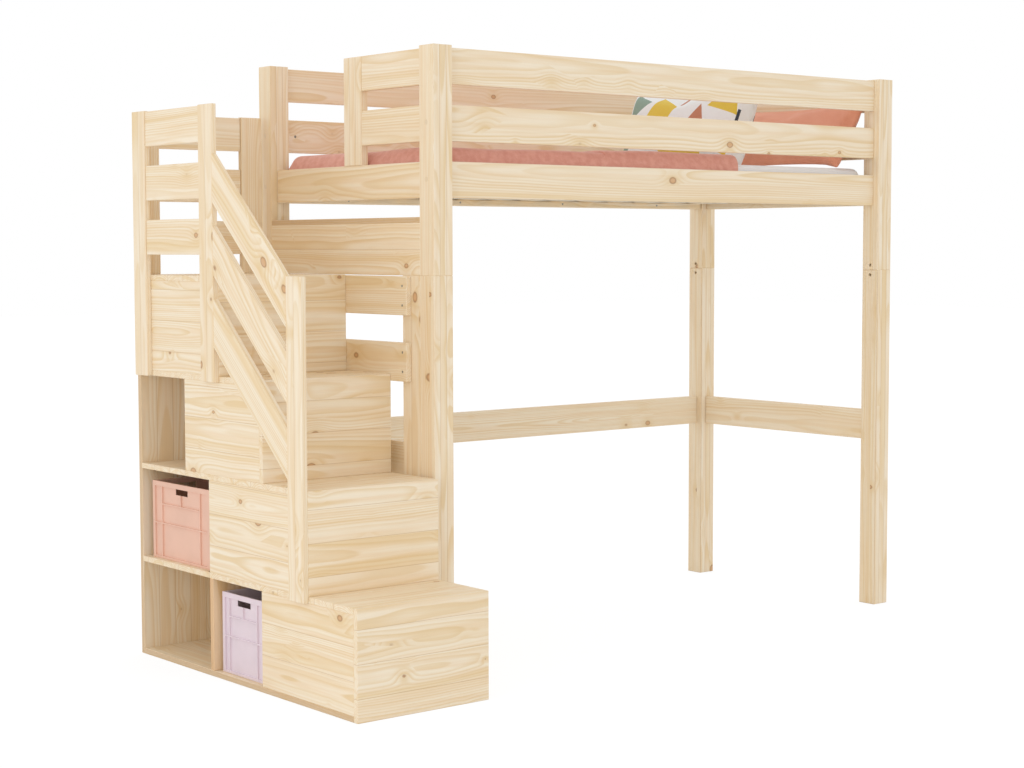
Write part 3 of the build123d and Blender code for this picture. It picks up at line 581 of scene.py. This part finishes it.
def solids_of(node):
    """The corner points of each separate solid of a CAD node."""
    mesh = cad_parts[node].data
    keys = [tuple(round(c, 5) for c in vertex.co) for vertex in mesh.vertices]
    owner = {key: key for key in keys}

    def root(key):
        while owner[key] != key:
            key = owner[key]
        return key

    for face in mesh.polygons:
        first, *others = (root(keys[index]) for index in face.vertices)
        for other in others:
            owner[root(other)] = first
            first = root(first)
    groups = {}
    for key in owner:
        groups.setdefault(root(key), []).append(key)
    return [np.array(points) for _, points in sorted(groups.items())]


def revolved(name, profile, sides):
    """A closed turned shape from a profile of radii and heights, up the Z axis."""
    shape = bmesh.new()
    rings = []
    for radius, height in profile:
        if radius == 0:
            rings.append([shape.verts.new((0, 0, height))])
            continue
        turns = [2 * pi * step / sides for step in range(sides)]
        rings.append([shape.verts.new((radius * cos(t), radius * sin(t), height)) for t in turns])
    for ring, above in zip(rings, rings[1:]):
        for step in range(sides):
            corners = [ring[step % len(ring)], ring[(step + 1) % len(ring)]]
            corners += [above[(step + 1) % len(above)], above[step % len(above)]]
            shape.faces.new(list(dict.fromkeys(corners)))
    bmesh.ops.recalc_face_normals(shape, faces=shape.faces)
    mesh = bpy.data.meshes.new(name)
    shape.to_mesh(mesh)
    shape.free()
    return mesh


def box_mesh(name, low, high):
    """A box between two corners, to cut slots with."""
    shape = bmesh.new()
    bmesh.ops.create_cube(shape, size=1.0)
    for vertex in shape.verts:
        vertex.co = [lo + (hi - lo) * (c + 0.5) for c, lo, hi in zip(vertex.co, low, high)]
    mesh = bpy.data.meshes.new(name)
    shape.to_mesh(mesh)
    shape.free()
    return mesh


def applied(piece):
    """A piece's mesh with its modifiers worked into it, as a new mesh."""
    graph = bpy.context.evaluated_depsgraph_get()
    return bpy.data.meshes.new_from_object(piece.evaluated_get(graph))


def slotted(mesh, slots):
    """A turned shape with slots cut in it."""
    blank = new_object("blank", mesh)
    cutters = []
    for low, high in slots:
        cutter = new_object("cutter", box_mesh("cutter", low, high))
        cut = blank.modifiers.new("slot", "BOOLEAN")
        cut.operation = "DIFFERENCE"
        cut.solver = "EXACT"
        cut.object = cutter
        cutters.append(cutter)
    finished = applied(blank)
    for helper in (blank, *cutters):
        bpy.data.objects.remove(helper)
    return finished


def build_setting_out():
    """A geometry tree that puts one shape at every point, turned and sized as the point says."""
    tree = bpy.data.node_groups.new("setting_out", "GeometryNodeTree")
    tree.is_modifier = True
    for name, kind in (("Places", "Geometry"), ("Shape", "Object"), ("Finish", "Material")):
        tree.interface.new_socket(name, in_out="INPUT", socket_type=f"NodeSocket{kind}")
    tree.interface.new_socket("Pieces", in_out="OUTPUT", socket_type="NodeSocketGeometry")
    g = Nodes(tree)
    given = tree.nodes.new("NodeGroupInput")
    places, shape, finish = (Wire(g, given.outputs[index]) for index in range(3))
    one = g.add("GeometryNodeObjectInfo", {"transform_space": "ORIGINAL"}, {"Object": shape}, "Geometry")
    turn = g.add("GeometryNodeInputNamedAttribute", {"data_type": "FLOAT_VECTOR"}, {"Name": "turn"})
    size = g.add("GeometryNodeInputNamedAttribute", {"data_type": "FLOAT_VECTOR"}, {"Name": "size"})
    turned = g.add("FunctionNodeEulerToRotation", None, {0: turn})
    inputs = {"Points": places, "Instance": one, "Rotation": turned, "Scale": size}
    placed = g.add("GeometryNodeInstanceOnPoints", None, inputs)
    real = g.add("GeometryNodeRealizeInstances", None, {0: placed})
    done = g.add("GeometryNodeSetMaterial", None, {"Geometry": real, "Material": finish})
    g.add("NodeGroupOutput", None, {0: done})
    return tree


setting_out = build_setting_out()


def set_out(node, shape, material, slender):
    """Stands a round shape in each solid of a CAD node, head first along its own axis."""
    places = bpy.data.meshes.new(node)
    starts, turns, sizes = [], [], []
    for points in solids_of(node):
        low, high = points.min(0), points.max(0)
        spans = high - low
        axis = int(np.argmax(spans) if slender else np.argmin(spans))
        middle = (low + high) / 2
        ends = [points[np.abs(points[:, axis] - end) < 1e-4] for end in (low[axis], high[axis])]
        widths = [np.ptp(end, axis=0).max() for end in ends]
        outward = low[axis] < 0
        head_low = widths[0] > widths[1] + 1e-4 or (abs(widths[0] - widths[1]) < 1e-4 and outward)
        middle[axis] = low[axis] if head_low else high[axis]
        direction = Vector((0, 0, 0))
        direction[axis] = 1 if head_low else -1
        across = max(span for index, span in enumerate(spans) if index != axis) / 2
        starts.append(Vector(middle))
        turns.append(direction.to_track_quat("Z", "Y").to_euler())
        sizes.append((across, across, spans[axis]))
    places.from_pydata(starts, [], [])
    for name, values in (("turn", turns), ("size", sizes)):
        attribute = places.attributes.new(name, "FLOAT_VECTOR", "POINT")
        attribute.data.foreach_set("vector", [c for value in values for c in value])
    stand_in = new_object("shape", shape)
    piece = new_object(f"{node}_round", places)
    modifier = piece.modifiers.new("setting_out", "NODES")
    modifier.node_group = setting_out
    values = {"Shape": stand_in, "Finish": material}
    for socket in setting_out.interface.items_tree:
        if socket.name in values:
            modifier[socket.identifier] = values[socket.name]
    mesh = applied(piece)
    piece.modifiers.clear()
    piece.data = mesh
    bpy.data.objects.remove(stand_in)
    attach(piece, "root")
    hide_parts(node)
    return piece


cap_plastic, n = new_material("cap_plastic")
mottle = n.noise(n.place(), 900.0)
n.surface(Base_Color=n.blend(mottle * 0.3, CAP_SHADE, PINE_WARM), Roughness=0.38 + mottle * 0.1,
          Normal=n.bump(mottle, 0.00004))
zinc_steel, n = new_material("zinc_steel")
turning = n.noise(n.place(), 1400.0)
spangle = n.noise(n.place(), 220.0)
n.surface(Base_Color=n.blend(spangle * 0.5, STEEL_SHADE, STEEL_SPANGLE), Metallic=0.9,
          Roughness=0.32 + turning * 0.15, Normal=n.bump(turning, 0.00003))
dowel_wood, n = new_material("dowel_wood")
flutes = n.noise(n.place(), 600.0)
n.surface(Base_Color=n.blend(flutes, DOWEL_SHADE, PINE_LATE), Roughness=0.6, Normal=n.bump(flutes, 0.0001))

cap_profile = ((0, 1), (1.0, 1), (1.0, 0.35), (0.93, 0.14), (0.72, 0.03), (0, 0))
set_out("bolt_caps", revolved("cap", cap_profile, ROUND_SIDES), cap_plastic, False)

shank = 0.46
screw_profile = [(0, 0), (0.96, 0), (1.0, 0.006), (shank, 0.068)]
for thread in range(THREADS):
    height = 0.09 + thread * 0.075
    screw_profile += [(shank * 0.74, height), (shank, height + 0.03), (shank * 0.74, height + 0.06)]
screw_profile += [(shank * 0.6, 0.94), (0, 1)]
arm, reach, recess = 0.11, 0.46, 0.035
cross = (((-reach, -arm, -0.1), (reach, arm, recess)), ((-arm, -reach, -0.1), (arm, reach, recess)))
screw_shape = slotted(revolved("screw", screw_profile, SCREW_SIDES), cross)
set_out("screws", screw_shape, zinc_steel, True)

nut_profile = ((0, 1), (0.92, 1), (1.0, 0.96), (1.0, 0.04), (0.92, 0), (0, 0))
driver_slot = (((-1.2, -0.12, -0.1), (1.2, 0.12, 0.09)), ((-1.2, -0.12, 0.91), (1.2, 0.12, 1.1)))
nut_shape = slotted(revolved("barrel_nut", nut_profile, ROUND_SIDES), driver_slot)
set_out("barrel_nuts", nut_shape, zinc_steel, True)
for node, material in (("bed_bolts", zinc_steel), ("guard_dowels", dowel_wood)):
    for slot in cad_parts[node].material_slots:
        slot.material = material


# Straps of the slatted base
# Two woven polyester bands that keep the slats at their spacing.
STRAP_SHADE = linear(226, 222, 212)
STRAP_PAINTED_GROOVE_SHADE = linear(176, 170, 158)
STRAP_THREAD = 0.0016

webbing, n = new_material("webbing")
over, along_band, _ = n.parts(n.place())
warp = (along_band / STRAP_THREAD).fraction() - 0.5
weft = (over / STRAP_THREAD).fraction() - 0.5
lattice = (warp.size() + weft.size()).ramp(0.1, 0.9)
# The gaps between threads are sunk by the bump and darkened in colour: painted shade in the weave's
# grooves.
n.surface(Base_Color=n.blend(lattice * 0.5, STRAP_SHADE, STRAP_PAINTED_GROOVE_SHADE), Roughness=0.8,
          Normal=n.bump(1.0 - lattice, 0.0003))
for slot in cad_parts["slat_straps"].material_slots:
    slot.material = webbing


# Mattress
# A foam slab in a white knitted cover, its edges and corners rounded, which stops short of the
# rails where the bedding is tucked down.
TICKING_SHADE = linear(240, 240, 241)
TICKING_SLUB = linear(228, 228, 232)
KNIT_FINENESS = (500.0, 900.0, 900.0)
MATTRESS_CORNER = 0.080
CORNER_STEPS = 10
EDGE_STEPS = 24
COVER_INSET = 0.016
EDGE_ROUND = 0.03
BORDER_BULGE = 0.003


def rounded_ring(low, high, corner, inset):
    """The points of a rounded rectangle drawn in from two corners by an inset."""
    radius = max(corner - inset, 0.012)
    points = []
    centres = ((high[0], low[1], 1, -1), (high[0], high[1], 1, 1),
               (low[0], high[1], -1, 1), (low[0], low[1], -1, -1))
    for quarter, (x, y, x_side, y_side) in enumerate(centres):
        centre = (x - x_side * (inset + radius), y - y_side * (inset + radius))
        start = pi / 2 * (quarter - 1)
        for step in range(CORNER_STEPS + 1):
            turn = start + pi / 2 * step / CORNER_STEPS
            points.append((centre[0] + radius * cos(turn), centre[1] + radius * sin(turn)))
    full = []
    for point, following in zip(points, points[1:] + points[:1]):
        steps = EDGE_STEPS if len(full) % (CORNER_STEPS + EDGE_STEPS) == CORNER_STEPS else 1
        for step in range(steps):
            share = step / steps
            full.append(tuple(a + (b - a) * share for a, b in zip(point, following)))
    return full


def ring_loft(name, rings):
    """A closed skin over rings of equal counts, capped at both ends."""
    shape = bmesh.new()
    rows = [[shape.verts.new(point) for point in ring] for ring in rings]
    count = len(rows[0])
    for row, above in zip(rows, rows[1:]):
        for step in range(count):
            shape.faces.new((row[step], row[(step + 1) % count], above[(step + 1) % count], above[step]))
    shape.faces.new(rows[0][::-1])
    shape.faces.new(rows[-1])
    bmesh.ops.triangulate(shape, faces=[face for face in shape.faces if len(face.verts) > 4])
    bmesh.ops.recalc_face_normals(shape, faces=shape.faces)
    for face in shape.faces:
        face.smooth = True
    mesh = bpy.data.meshes.new(name)
    shape.to_mesh(mesh)
    shape.free()
    return mesh


ticking, n = new_material("ticking")
place = n.place()
loops = n.noise(n.scaled(place, KNIT_FINENESS), 1.0)
slub = n.noise(place, 26.0)
n.surface(Base_Color=n.blend(slub * 0.35, TICKING_SHADE, TICKING_SLUB), Roughness=0.78 + loops * 0.1,
          Normal=n.bump(loops, 0.0002), Sheen_Weight=0.2)

low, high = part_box("mattress")
depth = high.z - low.z
edge_turns = [pi / 2 * step / 6 for step in range(7)]
lower_edge = [(EDGE_ROUND * (1 - sin(turn)), EDGE_ROUND * (1 - cos(turn))) for turn in edge_turns]
upright_depth = depth - 2 * EDGE_ROUND
border = [(-BORDER_BULGE * sin(pi * share), EDGE_ROUND + upright_depth * share)
          for share in (0.2, 0.4, 0.6, 0.8)]
upper_edge = [(inset, depth - height) for inset, height in reversed(lower_edge)]
flat = [0.40, 0.2, 0.08, 0.03]
bottom = [(inset, 0.0) for inset in flat]
top = [(inset, depth) for inset in reversed(flat)]
profile = bottom + lower_edge + border + upper_edge + top
profile = [(inset + COVER_INSET, height) for inset, height in profile]
rings = [[(x, y, low.z + height) for x, y in rounded_ring(low, high, MATTRESS_CORNER, inset)]
         for inset, height in profile]
mattress = new_object("mattress_cover", ring_loft("mattress_cover", rings), ticking)
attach(mattress, "root")
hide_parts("mattress")


# Duvet
# A brushed cotton duvet, laid flat and folded back on itself at the head end, inflated as
# cloth so that its skin puckers.
DUVET_SHADE = linear(232, 172, 156)
DUVET_DEEP = linear(216, 148, 130)
NAP_FINENESS = (60.0, 260.0, 260.0)
DUVET_STEP = 0.0135
DUVET_BASE_DEPTH = 0.017
DUVET_FLAP = 0.62
DUVET_FLAP_DEPTH = 0.012
DUVET_SIDE_ROUND = 0.03
DUVET_SIDE_STEPS = (0.024, 0.018, 0.013, 0.009, 0.006, 0.003, 0.001, 0.0)
DUVET_SKIRT = 0.038
DUVET_DROP = 0.062
DUVET_THIN_EDGE = 0.12
POST_TUCK = 0.024
POST_REACH = 0.05
POST_EASE = 0.06
FLAP_DRAW_IN = 0.02
FLAP_EASE = 0.02
DUVET_PRESSURE = 2.2
DUVET_CAP = 0.005
RIPPLE = 0.0011
CREASE = 0.0012
INFLATE_FRAMES = 20


def walked(corners, step):
    """Even points along a closed path through corners."""
    path = []
    for start, end in zip(corners, corners[1:] + corners[:1]):
        start, end = Vector(start), Vector(end)
        count = max(1, round((end - start).length / step))
        path += [start.lerp(end, index / count) for index in range(count)]
    return path


def arc(centre, radius_x, radius_z, start, end, steps=6):
    """Corner points on an arc in the plane of the fold."""
    turns = [radians(start + (end - start) * index / steps) for index in range(steps + 1)]
    return [(centre[0] + radius_x * cos(turn), centre[1] + radius_z * sin(turn)) for turn in turns]


def inflated(piece, pressure, cap):
    """The piece after its cloth has been blown up for a moment, no point moved past a cap."""
    before = np.array([vertex.co for vertex in piece.data.vertices])
    cloth = piece.modifiers.new("cloth", "CLOTH")
    cloth.settings.use_pressure = True
    cloth.settings.uniform_pressure_force = pressure
    cloth.settings.effector_weights.gravity = 0
    cloth.settings.quality = 4
    cloth.settings.bending_stiffness = 0.8
    cloth.point_cache.frame_start = 1
    cloth.point_cache.frame_end = INFLATE_FRAMES
    for moment in range(1, INFLATE_FRAMES + 1):
        bpy.context.scene.frame_set(moment)
    mesh = applied(piece)
    after = np.array([vertex.co for vertex in mesh.vertices])
    moved = after - before
    reach = np.linalg.norm(moved, axis=1, keepdims=True)
    after = before + moved * np.minimum(1.0, cap / np.maximum(reach, 1e-9))
    piece.modifiers.clear()
    bpy.context.scene.frame_set(1)
    mesh.vertices.foreach_set("co", after.ravel())
    mesh.update()
    piece.data = mesh


def held_in(piece, low, high):
    """Keeps every point of a soft piece between two corners."""
    points = np.array([vertex.co for vertex in piece.data.vertices])
    points = np.clip(points, np.array(low), np.array(high))
    piece.data.vertices.foreach_set("co", points.ravel())
    piece.data.update()


def smoothed(piece):
    """Applies one round of subdivision."""
    rounds = piece.modifiers.new("smooth", "SUBSURF")
    rounds.levels = rounds.render_levels = 1
    mesh = applied(piece)
    piece.modifiers.clear()
    piece.data = mesh


low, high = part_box("duvet")
bed_low, bed_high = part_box("mattress")
left, right = bed_low.x + 0.001, high.x - 0.005
ground = low.z + 0.0015
base_top = ground + DUVET_BASE_DEPTH
flap_top = base_top + CREASE + DUVET_FLAP_DEPTH
fold_radius = (flap_top - ground) / 2
foot_radius = DUVET_BASE_DEPTH / 2
flap_radius = DUVET_FLAP_DEPTH / 2
flap_edge = right - DUVET_FLAP
fold_centre = (right - fold_radius, ground + fold_radius)
flap_centre = (flap_edge + flap_radius, flap_top - flap_radius)
foot_centre = (left + foot_radius, ground + foot_radius)
corners = arc(fold_centre, fold_radius, fold_radius, -90, 90, 8)
corners += arc(flap_centre, flap_radius, flap_radius, 90, 270, 6)
corners += [(right - fold_radius, base_top + CREASE), (right - fold_radius, base_top)]
corners += arc(foot_centre, foot_radius, foot_radius, 90, 270, 6)
outline = walked([(x, z, 0) for x, z in corners], DUVET_STEP)
half_width = (bed_high.y - bed_low.y) / 2 - 0.001
middle = (high.y + low.y) / 2
inner_width = half_width - DUVET_SIDE_ROUND
inner_rows = round(2 * inner_width / DUVET_STEP)
half_sides = [half_width - step for step in DUVET_SIDE_STEPS]
offsets = [-side for side in reversed(half_sides)]
offsets += [inner_width * (-1 + 2 * row / inner_rows) for row in range(inner_rows + 1)] + half_sides


def draped(offset, x, z):
    """Where a point of the folded section lies, at a distance from the duvet's middle line."""
    inside = max(0.0, (abs(offset) - inner_width) / DUVET_SIDE_ROUND)
    squeeze = DUVET_THIN_EDGE + (1 - DUVET_THIN_EDGE) * sqrt(max(0.0, 1 - inside ** 2))
    near_posts = (post_high.x + POST_REACH - x) / POST_EASE
    tuck = POST_TUCK * min(1.0, max(0.0, near_posts))
    draw_in = FLAP_DRAW_IN * inside ** 2 if x > flap_edge - FLAP_EASE else 0.0
    x = min(x, right - draw_in)
    y = middle + offset * (half_width - tuck) / half_width
    hang_side = (abs(offset) - half_width) / DUVET_SKIRT + 1
    hang_foot = (left - x) / DUVET_SKIRT + 1
    hang = min(1.0, max(0.0, hang_side, hang_foot))
    heart = ground + DUVET_BASE_DEPTH / 2
    return x, y, heart + (z - heart) * squeeze - DUVET_DROP * hang ** 2


rings = [[draped(offset, point.x, point.y) for point in outline] for offset in offsets]
duvet = new_object("duvet_cover", ring_loft("duvet_cover", rings))
inflated(duvet, DUVET_PRESSURE, DUVET_CAP)
points = np.array([vertex.co for vertex in duvet.data.vertices])
along_bed, across_bed = points[:, 0], points[:, 1]
ripples = np.sin(along_bed * 13 + np.sin(across_bed * 9) * 1.6)
ripples = ripples + np.sin(across_bed * 17 + along_bed * 5)
above = np.clip((points[:, 2] - ground) / DUVET_BASE_DEPTH, 0, 1)
points[:, 2] += ripples * RIPPLE * above
duvet.data.vertices.foreach_set("co", points.ravel())
smoothed(duvet)
held_in(duvet, bed_low, Vector((high.x, bed_high.y, high.z)))
for face in duvet.data.polygons:
    face.use_smooth = True

duvet_cotton, n = new_material("duvet_cotton")
place = n.place()
fluff = n.noise(place, 420.0, 3.0, 0.6)
cloud = n.noise(place, 46.0, 3.0, 0.6)
brushed = n.noise(n.scaled(place, NAP_FINENESS), 1.0)
shade = n.blend(cloud.ramp(0.3, 0.72) * 0.7, DUVET_DEEP, DUVET_SHADE)
shade = n.blend((1.0 - brushed.ramp(0.2, 0.6)) * 0.25, shade, DUVET_DEEP)
n.surface(Base_Color=shade, Roughness=0.86 + fluff * 0.1, Sheen_Weight=0.35, Sheen_Roughness=0.5,
          Normal=n.bump(fluff + cloud, 0.0006))
duvet.data.materials.clear()
duvet.data.materials.append(duvet_cotton)
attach(duvet, "root")
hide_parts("duvet")


# Pillows
# Two stuffed pillows that lean at the head: a plain coral one against the head rail, and one
# with printed shapes in front of it. Each is sewn flat, then blown up as cloth.
PILLOW_COLUMNS = 46
PILLOW_ROWS = 22
PILLOW_START = 0.76
PILLOW_PRESSURE = 4.0
PILLOW_CAP = 0.022
SIDE_CROWN = 2.8
END_CROWN = 2.4
CROWN_EASE = 0.55
SIDE_DRAW_IN = 0.045
END_DRAW_IN = 0.02


def stuffed(name, node, width, height, lean, material):
    """A pillow in the place of its CAD solid, leaning back by an angle."""
    low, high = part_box(node)
    fullness = ((high.x - low.x) - height * sin(lean)) / cos(lean)
    shape = bmesh.new()
    spots_of = {}
    for side in (1, -1):
        for row in range(PILLOW_ROWS + 1):
            for column in range(PILLOW_COLUMNS + 1):
                across = -1 + 2 * column / PILLOW_COLUMNS
                up = -1 + 2 * row / PILLOW_ROWS
                border = abs(across) == 1 or abs(up) == 1
                if border and side == -1:
                    spots_of[side, row, column] = spots_of[1, row, column]
                    continue
                crown = ((1 - abs(across) ** SIDE_CROWN) * (1 - abs(up) ** END_CROWN)) ** CROWN_EASE
                thickness = side * fullness / 2 * PILLOW_START * crown
                drawn_height = height / 2 * (1 - SIDE_DRAW_IN * (1 - across ** 2))
                drawn_width = width / 2 * (1 - END_DRAW_IN * (1 - up ** 2))
                spot = (thickness, across * drawn_width, up * drawn_height)
                spots_of[side, row, column] = shape.verts.new(spot)
    flat = shape.loops.layers.uv.new("flat")
    for side in (1, -1):
        for row in range(PILLOW_ROWS):
            for column in range(PILLOW_COLUMNS):
                spots = [(row, column), (row, column + 1), (row + 1, column + 1), (row + 1, column)]
                spots = spots[::side]
                face = shape.faces.new([spots_of[side, r, c] for r, c in spots])
                face.smooth = True
                for loop, (r, c) in zip(face.loops, spots):
                    across_flat = (c / PILLOW_COLUMNS - 0.5) * width
                    loop[flat].uv = (across_flat, (r / PILLOW_ROWS - 0.5) * height)
    mesh = bpy.data.meshes.new(name)
    shape.to_mesh(mesh)
    shape.free()
    piece = new_object(name, mesh, material)
    inflated(piece, PILLOW_PRESSURE, PILLOW_CAP)
    smoothed(piece)
    stand = Matrix.Rotation(lean, 4, "Y")
    piece.data.transform(stand)
    points = np.array([vertex.co for vertex in piece.data.vertices])
    spread = points.max(0) - points.min(0)
    points = np.array(low) + (points - points.min(0)) / spread * np.array(high - low)
    piece.data.vertices.foreach_set("co", points.ravel())
    piece.data.update()
    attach(piece, "root")
    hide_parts(node)
    return piece


def weave(n, threads):
    """A fine plain weave on the cloth's own flat measure."""
    flat = n.add("ShaderNodeUVMap", {"uv_map": "flat"})
    across, up, _ = n.parts(flat)
    warp = (across * (threads * 2 * pi)).sine()
    weft = (up * (threads * 2 * pi)).sine()
    return flat, warp * weft


COTTON_THREADS = 900.0
CORAL_SHADE = linear(240, 166, 136)
CORAL_DEEP = linear(228, 146, 116)
CORAL_WIDTH = 0.655
CORAL_HEIGHT = 0.285
CORAL_LEAN = radians(30)

coral_cotton, n = new_material("coral_cotton")
flat, threads = weave(n, COTTON_THREADS)
wash = n.noise(flat, 9.0, 3.0)
n.surface(Base_Color=n.blend(wash.ramp(0.3, 0.7) * 0.5, CORAL_SHADE, CORAL_DEEP),
          Roughness=0.82, Sheen_Weight=0.2, Normal=n.bump(threads, 0.00015))
coral = stuffed("pillow_coral_cover", "pillow_coral", CORAL_WIDTH, CORAL_HEIGHT, CORAL_LEAN, coral_cotton)

# Printed shapes, each with its middle, size, turn and colour, on the flat cloth in metres.
MUSTARD = linear(232, 198, 70)
SAGE = linear(142, 164, 148)
TERRACOTTA = linear(198, 128, 96)
SLATE = linear(58, 66, 78)
GROUND = linear(243, 243, 242)
PRINTED_WIDTH = 0.635
PRINTED_HEIGHT = 0.305
PRINTED_LEAN = radians(16)
PRINT_EDGE = 0.0006
BAR_SLENDERNESS = 4.0
SQUARES = (
    (0.10, 0.055, 0.056, 25, MUSTARD),
    (-0.22, -0.06, 0.05, 12, MUSTARD),
    (0.27, -0.07, 0.03, 40, SAGE),
    (-0.07, -0.09, 0.065, 30, MUSTARD),
)
TRIANGLES = (
    (-0.215, 0.085, 0.044, 15, MUSTARD),
    (0.235, 0.09, 0.034, 200, SAGE),
    (0.04, -0.08, 0.05, 80, MUSTARD),
    (-0.09, 0.02, 0.028, 130, TERRACOTTA),
)
BARS = (
    (-0.125, 0.105, 0.032, 20, SLATE),
    (0.0, 0.11, 0.026, 115, TERRACOTTA),
    (0.18, -0.02, 0.03, 60, SLATE),
    (-0.28, 0.02, 0.026, 95, SLATE),
    (0.15, -0.12, 0.032, 5, TERRACOTTA),
)

printed_cotton, n = new_material("printed_cotton")
flat, threads = weave(n, COTTON_THREADS)
frayed = n.noise(flat, 700.0) * 0.0012
shade = GROUND


def turned_spot(middle_x, middle_y, turn):
    """The flat measure about a shape's own middle, turned to its own way up."""
    across, up, _ = n.parts(flat)
    across, up = across - middle_x, up - middle_y
    lean = radians(turn)
    return across * cos(lean) + up * sin(lean), up * cos(lean) - across * sin(lean)


for middle_x, middle_y, size, turn, colour in SQUARES:
    across, up = turned_spot(middle_x, middle_y, turn)
    edge = across.size().larger(up.size()) + frayed
    shade = n.blend(edge.ramp(size + PRINT_EDGE, size), shade, colour)
for middle_x, middle_y, size, turn, colour in TRIANGLES:
    across, up = turned_spot(middle_x, middle_y, turn)
    edge = (across.size() * 0.866 + up * 0.5).larger(-up) + frayed
    shade = n.blend(edge.ramp(size + PRINT_EDGE, size), shade, colour)
for middle_x, middle_y, size, turn, colour in BARS:
    across, up = turned_spot(middle_x, middle_y, turn)
    edge = across.size().larger(up.size() * BAR_SLENDERNESS) + frayed
    shade = n.blend(edge.ramp(size + PRINT_EDGE, size), shade, colour)
n.surface(Base_Color=shade, Roughness=0.82, Sheen_Weight=0.15, Normal=n.bump(threads, 0.00015))
printed = stuffed("pillow_printed_cover", "pillow_patterned", PRINTED_WIDTH, PRINTED_HEIGHT, PRINTED_LEAN,
                  printed_cotton)


# Crates
# Two folding crates in moulded plastic, ribbed outside, open on top, with a hand slot in
# each side. Their edges are softened as a mould leaves them.
CORAL_PLASTIC = linear(234, 190, 168)
LILAC_PLASTIC = linear(230, 214, 222)
MOULD_ROUND = 0.0006
MOULD_FLOW = 0.93
SHARP_EDGE = radians(40)


def moulded(node, colour, slot):
    """A crate with softened edges in the place of its CAD solid."""
    shape = bmesh.new()
    shape.from_mesh(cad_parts[node].data)
    bmesh.ops.remove_doubles(shape, verts=shape.verts, dist=0.00002)
    mesh = bpy.data.meshes.new(f"{node}_shell")
    shape.to_mesh(mesh)
    shape.free()
    material, n = new_material(slot)
    place = n.place()
    grain = n.noise(place, 1900.0, 2.0)
    flow = n.noise(place, 12.0, 2.0)
    darker = tuple(c * MOULD_FLOW for c in colour[:3]) + (1.0,)
    n.surface(Base_Color=n.blend(flow.ramp(0.35, 0.7) * 0.6, colour, darker), Roughness=0.44 + grain * 0.1,
              Normal=n.bump(grain, 0.00003))
    piece = new_object(f"{node}_shell", mesh, material)
    edges = piece.modifiers.new("softened", "BEVEL")
    edges.width = MOULD_ROUND
    edges.segments = 2
    edges.limit_method = "ANGLE"
    edges.angle_limit = SHARP_EDGE
    edges.use_clamp_overlap = True
    piece.data = applied(piece)
    piece.modifiers.clear()
    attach(piece, node)
    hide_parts(node)


moulded("crate_coral", CORAL_PLASTIC, "coral_plastic")
moulded("crate_lilac", LILAC_PLASTIC, "lilac_plastic")
